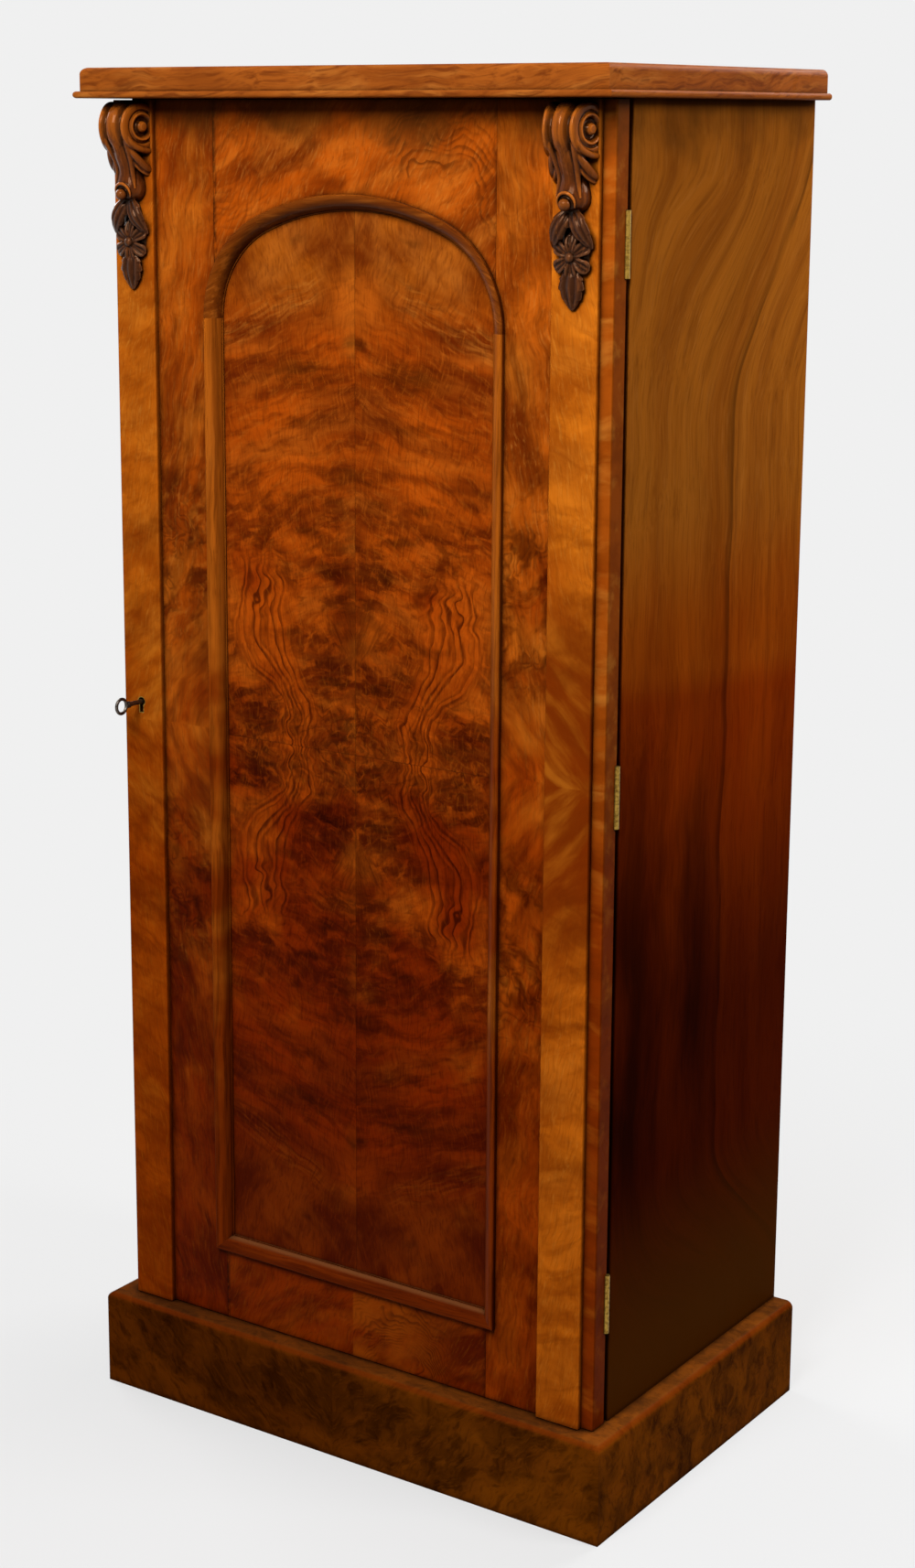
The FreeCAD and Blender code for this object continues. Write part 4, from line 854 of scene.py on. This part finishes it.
# The bottom rail's last argument is the tone of its painted shade towards the foot.
own_finish = {
    "top_rail": rail_veneer(
        "top_rail", 150.0, (0.0, 200.0, 120.0, 0.1),
        ((-160.0, 1395.0, 20.0, 110.0, 8.0, 0.25), (110.0, 1330.0, 50.0, 125.0, 8.0, 0.55))),
    "bottom_rail": rail_veneer(
        "bottom_rail", 77.0, (0.0, 150.0, 110.0, 0.9), ((60.0, 100.0, 20.0, 110.0, 5.0, 0.5),), "#c4a070"),
}
print("joints at", [round(x / MM, 1) for x in JOINTS], "mm")

# %% [markdown]
# Every other board now gets its finish. Like boards share one, by the slot that the joiner's list gives them,
# because they were veneered from one bundle of leaves. The boards on the right and the arch have one of their
# own: there the leaves are brighter, or the grain runs across the moulding.

# %% Finishes by slot and by board
STILE_SEAM = 790.0
ARCH_GROUND, ARCH_ROUGH, ARCH_DUST_AND_HIGHLIGHT = "#743608", 0.1, 0.05


def door_veneer(name, ground, figure, seed, **more):
    """The two leaves of a stile or pilaster, matched at the middle seam."""
    return veneer(name, ground, *figure, (None, STILE_SEAM), seed, backed=True, **more)


def moulding_veneer(name, turn, seed, ground="#ac5812", dust=0.2, sheen=0.05, rough=POLISH_ROUGH):
    """A stick of moulding with its grain turned some degrees from level."""
    # Its flanks get painted shade, and its ledges get dust with a painted highlight.
    return veneer(name, ground, long_figure(turn), seed=seed, reach=10.0, sheen=sheen, rough=rough, flank=0.3,
                  dust=dust)


def arch_veneer(name, turn, seed, sheen):
    """A third of the arch: darker and glossier than the straight mouldings, with less dust and painted
    highlight on its ledges.
    """
    return moulding_veneer(name, turn, seed, ARCH_GROUND, ARCH_DUST_AND_HIGHLIGHT, sheen, ARCH_ROUGH)


# In these calls foot_tone is the tone of a board's painted shade towards the foot.
finish.update({
    "walnut_frame": door_veneer("lock_stile_walnut", FRAME_GROUND, stile_figure(1), 310.0, curl=0.4),
    "walnut_pilaster": door_veneer(
        "left_pilaster_walnut", PILASTER_GROUND, pilaster_figure(1, 0.0), 90.0, flank=0.3, sheen=0.005,
        foot_tone="#d8b488"),
    "walnut_panel": panel_veneer(),
    "walnut_moulding": moulding_veneer("moulding_walnut", 89, 7.0),
    "walnut_side": side_veneer(),
    "walnut_edge": veneer("edge_walnut", "#6a3010", long_figure(89), seed=15.0, reach=12.0, sheen=0.01),
    "walnut_top": veneer("top_walnut", "#9a5018", TOP_FIGURE, seed=21.0, sheen=0.006, lipped=True),
    "walnut_plinth": veneer(
        "plinth_burr_walnut", "#ae761a", PLINTH_FIGURE, middle=(-8.0, None), seed=63.0, sheen=0.001,
        dust=0.15, knot=40.0, reach=36.0, dim=(250.0, -120.0), rubbed=0.5),
    "pine": veneer(
        "shelf_pine", "#b98a4a", PINE_FIGURE, seed=3.0, reach=15.0, sheen=0.1, foot_tone=NO_FOOT_SHADE_TONE,
        shade=0.0),
})
own_finish.update({
    "hinge_stile": door_veneer(
        "hinge_stile_walnut", "#c05a0e", stile_figure(-1), 505.0, strip=(292.0, "#a04a0c"), flank=0.4,
        curl=0.4, sheen=0.008, foot_tone="#dcb892"),
    "right_pilaster": door_veneer(
        "right_pilaster_walnut", "#da7616", pilaster_figure(-1, 0.92), 640.0, foot_tone=NO_FOOT_SHADE_TONE,
        flank=0.3, sheen=0.005),
    "moulding_haunch_left": arch_veneer("left_haunch_walnut", 24, 31.0, 0.08),
    "moulding_haunch_right": arch_veneer("right_haunch_walnut", -24, 57.0, 0.12),
    "moulding_crown": arch_veneer("crown_walnut", 2, 83.0, 0.08),
    # The foot moulding gets much dust and painted highlight on its ledge.
    "moulding_bottom": moulding_veneer("foot_moulding_walnut", 1, 99.0, "#8c4410", 0.75),
})
print(len(finish), "finishes by slot,", len(own_finish), "boards with their own")

# %% [markdown]
# The hinges and the lock are brass, the key and the screws are steel. Both were filed smooth and left bare,
# so hands keep the high spots bright while the rest dulls in small clouds. A real cloud is finer than a
# render can show, so it is drawn three millimetres wide. One function makes both, as only the tones differ.

# %% Brass and steel
TARNISH, METAL_ROUGH, TARNISH_ROUGH = (3, 3, 0, 0.35, 0.70), 0.35, 0.55


def metal(name, bright, dull):
    """A worn metal: polish on the high spots, tarnish in cloudy patches."""
    made, tree, shader = new_material(name)
    cloud = grain(tree, place_mm(tree), *TARNISH)
    rough = add(tree, "MapRange", [cloud, 0.0, 1.0, METAL_ROUGH, TARNISH_ROUGH])
    tree.links.new(add(tree, "MixRGB", [cloud, linear(bright), linear(dull)]), shader.inputs["Base Color"])
    tree.links.new(rough, shader.inputs["Roughness"])
    shader.inputs["Metallic"].default_value = 1.0
    return made


finish["brass"] = metal("aged_brass", "#a8843a", "#6e5220")
finish["steel"] = metal("dark_steel", "#6a625a", "#2c2622")
slot_of = {part["node"]: part["material_slot"] for part in frame["record"]["subparts"]}
for name, piece in frame["nodes"].items():
    piece.data.materials.clear()
    piece.data.materials.append(own_finish.get(name, finish[slot_of[name]]))
print(len(slot_of), "pieces have their finish")

# %% [markdown]
# A carved corbel hangs from the top of each pilaster: a fluted scroll that rolls forward, narrows to a
# neck and rolls again over a bud, and below it a drop of two leaves, a flower and a last leaf. A carver
# cuts it from one block. Here its forms are modelled one by one, as rods, rings, lofts and leaves, and
# then fused by a remesh, which rounds the inner corners much as a gouge and sandpaper would.

# %% The corbel's own measures
CORBEL_LOW, CORBEL_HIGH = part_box("right_corbel_scroll")
CORBEL_X = (CORBEL_LOW.x + CORBEL_HIGH.x) / 2
CORBEL_GAP = CORBEL_X - sum(corner.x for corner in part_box("left_corbel_scroll")) / 2
PILASTER_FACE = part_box("right_pilaster")[0].y
CORBEL_TOP = CORBEL_HIGH.z


def carved(across, out, down):
    """A place on the right corbel, from millimetres across, out of the pilaster and down from its top."""
    return Vector((CORBEL_X + across * MM, PILASTER_FACE - out * MM, CORBEL_TOP - down * MM))


corbel_wide = (CORBEL_HIGH.x - CORBEL_LOW.x) / MM
print("corbel", round(corbel_wide, 1), "mm wide, centres", round(CORBEL_GAP / MM, 1), "apart")

# %% [markdown]
# A rod follows a smooth curve, with its own thickness at each point. It could be swept from a profile,
# but a curve with a round bevel needs no second object, and the remesh blends the rods anyway.

# %% Rods and bosses
ROD_ORDER, ROD_STEPS, ROD_ROUND = 3, 8, 5
BALL_SEGMENTS, BALL_RINGS = 32, 20


def rod(points):
    """A carved rib along a curve. A point is across, out, down and the rib's radius there, in millimetres."""
    bpy.ops.object.select_all(action="DESELECT")
    bpy.ops.curve.primitive_nurbs_path_add()
    made = bpy.context.object
    made.data.splines.clear()
    line = made.data.splines.new("NURBS")
    line.points.add(len(points) - 1)
    for knot, (across, out, down, radius) in zip(line.points, points):
        knot.co = (*carved(across, out, down), 1.0)
        knot.radius = radius
    line.order_u, line.use_endpoint_u, line.resolution_u = ROD_ORDER, True, ROD_STEPS
    made.data.bevel_depth, made.data.bevel_resolution, made.data.use_fill_caps = MM, ROD_ROUND, True
    made.location = (0, 0, 0)
    bpy.ops.object.convert(target="MESH")
    return bpy.context.object


def both_sides(points):
    """The same rod on the left and on the right of the corbel."""
    return [rod([(side * across, *rest) for across, *rest in points]) for side in (1, -1)]


def ball(across, out, down, wide, deep, tall):
    """A rounded boss with its own half width, depth and height."""
    bpy.ops.object.select_all(action="DESELECT")
    bpy.ops.mesh.primitive_uv_sphere_add(
        segments=BALL_SEGMENTS, ring_count=BALL_RINGS, radius=MM, location=carved(across, out, down))
    made = bpy.context.object
    made.scale = (wide, deep, tall)
    bpy.ops.object.transform_apply(location=True, rotation=True, scale=True)
    return made


print("rods of order", ROD_ORDER, "and bosses of", BALL_SEGMENTS, "by", BALL_RINGS, "faces")

# %% [markdown]
# The top scroll is a spool: a rib in the middle, a flute on each side of it, then rims and sunk eyes. It
# could be built from rings, but spinning its outline about a level axis is what a lathe does. The neck below
# it is a round block, extruded ring by ring and resized.

# %% Roll and neck
ROLL_OUT, ROLL_DOWN = 9.5, 27.0
ROLL_PROFILE = (
    (0.0, 27.0), (3.2, 26.6), (5.6, 25.2), (7.2, 22.6), (8.4, 20.8), (9.8, 21.4), (11.8, 23.8), (13.8, 25.3),
    (15.6, 25.2), (16.8, 23.4), (17.2, 20.6), (17.0, 18.0), (15.6, 16.6), (16.6, 15.0), (17.8, 13.8),
    (17.6, 12.2), (16.2, 10.6), (14.4, 9.4), (14.2, 7.6), (15.2, 6.3), (17.4, 5.4), (18.8, 3.6), (19.2, 0.0),
)
ROLL_FLARE, ROLL_FRONT = 0.40, 36.5
ROLL_STEPS, ROLL_MERGE = 96, 0.01


def roll():
    """The top scroll, turned like a spool, then flared towards the pilaster."""
    bpy.ops.object.select_all(action="DESELECT")
    bpy.ops.mesh.primitive_circle_add(vertices=2 * len(ROLL_PROFILE) - 1, location=(0, 0, 0))
    made = bpy.context.object
    outline = [(-x, r) for x, r in reversed(ROLL_PROFILE[1:])] + list(ROLL_PROFILE)
    for corner, (across, radius) in zip(made.data.vertices, outline):
        corner.co = carved(across, ROLL_OUT + radius, ROLL_DOWN)
    bpy.ops.object.mode_set(mode="EDIT")
    bpy.ops.mesh.select_all(action="SELECT")
    bpy.ops.mesh.spin(steps=ROLL_STEPS, angle=math.tau, center=carved(0, ROLL_OUT, ROLL_DOWN), axis=(1, 0, 0))
    bpy.ops.mesh.select_all(action="SELECT")
    bpy.ops.mesh.remove_doubles(threshold=ROLL_MERGE * MM)
    bpy.ops.mesh.delete_loose()
    bpy.ops.mesh.select_all(action="SELECT")
    bpy.ops.mesh.normals_make_consistent(inside=False)
    bpy.ops.object.mode_set(mode="OBJECT")
    for corner in made.data.vertices:
        out = (PILASTER_FACE - corner.co.y) / MM
        corner.co.x = CORBEL_X + (corner.co.x - CORBEL_X) * (1 + ROLL_FLARE * (ROLL_FRONT - out) / ROLL_FRONT)
    return made


NECK_STATIONS = (
    (38.0, 12.0, 24.0), (46.0, 13.5, 23.5), (54.0, 14.2, 20.5), (62.0, 13.8, 17.5), (70.0, 13.6, 15.6),
    (77.0, 15.0, 15.6), (84.0, 17.2, 17.0), (90.0, 18.2, 18.0), (96.0, 17.2, 17.2), (101.0, 13.5, 13.0),
    (104.0, 7.0, 7.0),
)
NECK_SIDES, NECK_LEVELS = 40, 2


def worked(made, kind, **settings):
    """Finishes a form with one modifier, applied."""
    tool = made.modifiers.new(kind.lower(), kind)
    for name, value in settings.items():
        setattr(tool, name, value)
    bpy.ops.object.modifier_apply(modifier=tool.name)


def neck():
    """The body from the roll to the lower scroll: rings of a round block, extruded down and resized."""
    down, wide, deep = NECK_STATIONS[0]
    bpy.ops.object.select_all(action="DESELECT")
    bpy.ops.mesh.primitive_circle_add(
        vertices=NECK_SIDES, radius=MM, fill_type="NGON", location=carved(0, 0, down))
    made = bpy.context.object
    made.scale = (wide, deep, 1)
    bpy.ops.object.transform_apply(location=True, rotation=True, scale=True)
    bpy.ops.object.mode_set(mode="EDIT")
    bpy.ops.mesh.select_all(action="SELECT")
    for (old_down, old_wide, old_deep), (down, wide, deep) in zip(NECK_STATIONS, NECK_STATIONS[1:]):
        bpy.ops.mesh.extrude_region_move(TRANSFORM_OT_translate={"value": (0, 0, (old_down - down) * MM)})
        bpy.ops.transform.resize(
            value=(wide / old_wide, deep / old_deep, 1), center_override=carved(0, 0, down))
    bpy.ops.mesh.select_all(action="SELECT")
    bpy.ops.mesh.normals_make_consistent(inside=False)
    bpy.ops.object.mode_set(mode="OBJECT")
    worked(made, "SUBSURF", levels=NECK_LEVELS, render_levels=NECK_LEVELS)
    return made


print("roll profile has", len(ROLL_PROFILE), "points, neck", len(NECK_STATIONS), "rings")

# %% [markdown]
# A carved leaf is a thin dished plate with a midrib, flutes along it and a toothed edge, thicker below so
# that it grows out of the block. A flat grid is bent into that form point by point, because no single
# tool droops, dishes and serrates at once, and it then gets its thickness.

# %% Leaves and petals
LEAF_ACROSS, LEAF_ALONG, LEAF_MERGE = 36, 44, 0.001
STALK, LEAF_SWELL, LEAF_POINT = 0.06, 0.8, 0.75
PETAL_ROOT, PETAL_TIP = 0.32, 5
TOOTH_DEPTH, DISH_CURVE, RIB_EASE = 0.18, 1.5, 6


def leaf(root, tip, half_width, lift, teeth=0, flutes=5, blunt=0.0, thick=3.0, dish=1.5, rib=0.9):
    """A leaf from its root to its tip (across, out, down). lift arches it, blunt makes it a petal, and rib is
    the height of its flutes."""
    bpy.ops.object.select_all(action="DESELECT")
    bpy.ops.mesh.primitive_grid_add(
        x_subdivisions=LEAF_ACROSS, y_subdivisions=LEAF_ALONG, size=2.0, location=(0, 0, 0))
    made = bpy.context.object
    start, end = Vector(root), Vector(tip)
    along = end - start
    level = Vector((along.z, 0.0, -along.x)).normalized()
    for corner in made.data.vertices:
        side, run = corner.co.x, (corner.co.y + 1) / 2
        arch = math.sin(math.pi * run)
        pointed = math.sin(math.pi * min(1.0, run * (1 - STALK) + STALK) ** LEAF_SWELL) ** LEAF_POINT
        rounded = (PETAL_ROOT + (1 - PETAL_ROOT) * run) * math.sqrt(max(0.0, 1 - run ** PETAL_TIP))
        tooth = TOOTH_DEPTH * (1 - (teeth * run) % 1.0) if teeth else 0.0
        width = half_width * (pointed * (1 - blunt) + rounded * blunt) * (1 - tooth * side ** 2)
        ridge = rib * math.cos(math.pi * flutes * side) * min(1.0, RIB_EASE * run, RIB_EASE * (1 - run))
        rise = lift * arch + dish * (abs(side) ** DISH_CURVE - 0.5) * arch
        place = start + along * run + level * (side * width)
        corner.co = carved(place.x, place.y + rise + ridge, place.z)
    worked(made, "SOLIDIFY", thickness=thick * MM, offset=0.0)
    bpy.ops.object.mode_set(mode="EDIT")
    bpy.ops.mesh.select_all(action="SELECT")
    bpy.ops.mesh.remove_doubles(threshold=LEAF_MERGE * MM)
    bpy.ops.mesh.normals_make_consistent(inside=False)
    bpy.ops.object.mode_set(mode="OBJECT")
    return made


FLOWER_OUT, FLOWER_DOWN, PETAL_REACH, PETAL_HALF = 7.0, 145.0, 21.5, 9.6
PETAL_TURNS = (32, 90, 148, 212, 270, 328)
PETAL_START, PETAL_SINK, PETAL_DROOP, PETAL_LIFT = 3.5, 1.0, 3.5, 2.2
PETAL_FORM = {"flutes": 3, "blunt": 1.0, "thick": 2.6, "dish": 2.6}
BOSS_OUT, BOSS_HALF, BED_HALF = 1.5, (5.0, 4.6, 5.0), (17.0, 3.4, 17.0)


def flower():
    """Six ridged petals round a boss, on a flat bed."""
    made = [ball(0, FLOWER_OUT + BOSS_OUT, FLOWER_DOWN, *BOSS_HALF), ball(0, 0.0, FLOWER_DOWN, *BED_HALF)]
    for turn in PETAL_TURNS:
        across, down = math.cos(math.radians(turn)), -math.sin(math.radians(turn))
        root = (across * PETAL_START, FLOWER_OUT - PETAL_SINK, FLOWER_DOWN + down * PETAL_START)
        tip = (across * PETAL_REACH, FLOWER_OUT - PETAL_DROOP, FLOWER_DOWN + down * PETAL_REACH)
        made.append(leaf(root, tip, PETAL_HALF, PETAL_LIFT, **PETAL_FORM))
    return made


print("flower of", len(PETAL_TURNS), "petals")

# %% [markdown]
# These are the forms of one corbel. Bands run down over the roll and the neck, lobes sweep back at their
# sides, a hood curls over the bud, and the leaves and the flower hang below. The sides could be modelled once
# and mirrored, but a rod with its signs turned round needs no clean-up.

# %% The forms of a corbel
RIM_SWEEP = ((14.6, 30.5, 30.0, 2.4), (16.4, 27.5, 38.5, 3.0), (18.8, 20.5, 46.0, 3.3),
             (21.6, 11.0, 50.6, 3.4), (22.6, 2.0, 51.6, 3.2), (22.8, -4.0, 51.6, 3.0))
LOBE_SWEEP = ((12.0, 23.0, 44.0, 2.0), (15.0, 19.0, 52.0, 3.2), (18.2, 12.5, 60.0, 4.0),
              (21.0, 5.5, 67.5, 4.2), (22.0, 0.0, 71.0, 3.8), (22.0, -5.0, 72.0, 3.0))
LOBE_EDGE = ((8.0, 15.0, 53.0, 1.4), (12.5, 13.5, 62.5, 2.2), (17.0, 8.0, 70.5, 2.6), (21.0, 1.0, 75.5, 2.4),
             (21.5, -4.0, 76.0, 2.0))
NECK_FRONT = ((0, 20.0, 36.0, 10.0), (0, 17.0, 44.0, 10.5), (0, 13.5, 52.0, 11.0), (0, 9.5, 60.0, 11.0),
              (0, 6.5, 68.0, 10.5), (0, 5.5, 76.0, 10.5), (0, 6.0, 84.0, 10.5), (0, 6.5, 90.0, 10.0))
MID_BAND = ((0, 30.3, 27.0, 6.2), (0, 28.4, 35.8, 6.2), (0, 25.4, 41.0, 6.2), (0, 21.8, 47.0, 6.2),
            (0, 18.2, 54.0, 6.0), (0, 14.4, 61.0, 5.6), (0, 11.8, 68.5, 5.0), (0, 10.8, 76.5, 4.4),
            (0, 11.4, 84.0, 3.6), (0, 12.0, 90.0, 3.0))
SIDE_BAND = ((13.8, 28.0, 27.0, 2.4), (13.8, 27.6, 36.0, 3.2), (13.1, 24.4, 43.5, 3.6),
             (11.8, 19.6, 51.5, 3.6), (10.6, 15.0, 60.0, 3.4), (9.8, 12.2, 68.5, 3.0),
             (10.0, 11.4, 76.5, 2.6), (11.6, 12.0, 84.0, 2.2), (12.6, 12.0, 90.0, 1.4))
HOOD_OUT, HOOD_DOWN, HOOD_RADIUS, HOOD_SINK = 19.5, 94.5, 9.4, 5.0
HOOD_ROD, HOOD_THIN = 1.9, 0.4
HOOD_TURNS = range(-30, 211, 20)
BUD = (0, 19.5, 96.0, 6.0, 5.8, 6.0)
GROUND = (0, 0.0, 126.0, 13.0, 3.4, 26.0)
PAIR_ROOT, PAIR_TIP, PAIR_HALF, PAIR_LIFT = (3, 7.0, 102.0), (21.5, 2.5, 136.0), 9.2, 7.0
PAIR_FORM = {"teeth": 3, "flutes": 3, "thick": 3.4, "dish": -2.6, "rib": 0.7}
LAST_ROOT, LAST_TIP, LAST_HALF, LAST_LIFT = (0, 5.0, 157.0), (0, 1.8, 194.0), 14.5, 2.6
LAST_FORM = {"teeth": 4, "flutes": 3, "thick": 3.0, "dish": -2.4, "rib": 0.8}


def hood():
    """The lip that curls over the bud."""
    made = []
    for turn in HOOD_TURNS:
        rise = math.sin(math.pi * (turn - HOOD_TURNS[0]) / (HOOD_TURNS[-1] - HOOD_TURNS[0]))
        side, up = HOOD_RADIUS * math.cos(math.radians(turn)), HOOD_RADIUS * math.sin(math.radians(turn))
        radius = HOOD_ROD * (HOOD_THIN + (1 - HOOD_THIN) * rise)
        made.append((side, HOOD_OUT - HOOD_SINK * (1 - rise), HOOD_DOWN - up, radius))
    return rod(made)


def corbel_forms():
    """All the forms of one corbel, before they are fused."""
    made = [roll(), neck(), rod(NECK_FRONT), rod(MID_BAND), hood(), ball(*BUD), ball(*GROUND)]
    for sweep in (RIM_SWEEP, LOBE_SWEEP, LOBE_EDGE, SIDE_BAND):
        made += both_sides(sweep)
    for side in (1, -1):
        root, tip = [(side * across, *rest) for across, *rest in (PAIR_ROOT, PAIR_TIP)]
        made.append(leaf(root, tip, PAIR_HALF, PAIR_LIFT, **PAIR_FORM))
    made += flower()
    made.append(leaf(LAST_ROOT, LAST_TIP, LAST_HALF, LAST_LIFT, **LAST_FORM))
    return made


print("middle band of", len(MID_BAND), "points, side bands of", len(SIDE_BAND))

# %% [markdown]
# Now the block is put together, fused and smoothed, and cut flat at the back, where it is glued to the
# pilaster. Booleans could join the forms too, but they would leave sharp creases. The second corbel is a copy
# with its own mesh, moved across to the other pilaster.

# %% Corbels
VOXEL_MM, SMOOTH_FACTOR, SMOOTH_TURNS = 0.6, 0.5, 4


def fuse(forms, name):
    """Joins the forms, remeshes them into one skin, smooths it and cuts the back flat."""
    bpy.ops.object.select_all(action="DESELECT")
    for form in forms:
        form.select_set(True)
    bpy.context.view_layer.objects.active = forms[0]
    bpy.ops.object.join()
    made = bpy.context.object
    made.name = made.data.name = name
    worked(made, "REMESH", mode="VOXEL", voxel_size=VOXEL_MM * MM, use_smooth_shade=True)
    worked(made, "SMOOTH", factor=SMOOTH_FACTOR, iterations=SMOOTH_TURNS)
    bpy.ops.object.mode_set(mode="EDIT")
    bpy.ops.mesh.select_all(action="SELECT")
    bpy.ops.mesh.bisect(plane_co=carved(0, 0, 0), plane_no=(0, 1, 0), use_fill=True, clear_outer=True)
    bpy.ops.object.mode_set(mode="OBJECT")
    return made


right_corbel = fuse(corbel_forms(), "right_corbel_carving")
bpy.ops.object.select_all(action="DESELECT")
right_corbel.select_set(True)
bpy.context.view_layer.objects.active = right_corbel
bpy.ops.object.shade_smooth()
bpy.ops.object.duplicate(linked=False)
left_corbel = bpy.context.object
left_corbel.name = left_corbel.data.name = "left_corbel_carving"
left_corbel.location.x -= CORBEL_GAP
bpy.ops.object.transform_apply(location=True)
for side, carving in (("left", left_corbel), ("right", right_corbel)):
    carving.data.materials.clear()
    carving.data.materials.append(finish["carved_walnut"])
    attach(carving, "door")
    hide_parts(side + "_corbel_scroll", side + "_corbel_drop")
print("corbel has", len(right_corbel.data.polygons), "faces")
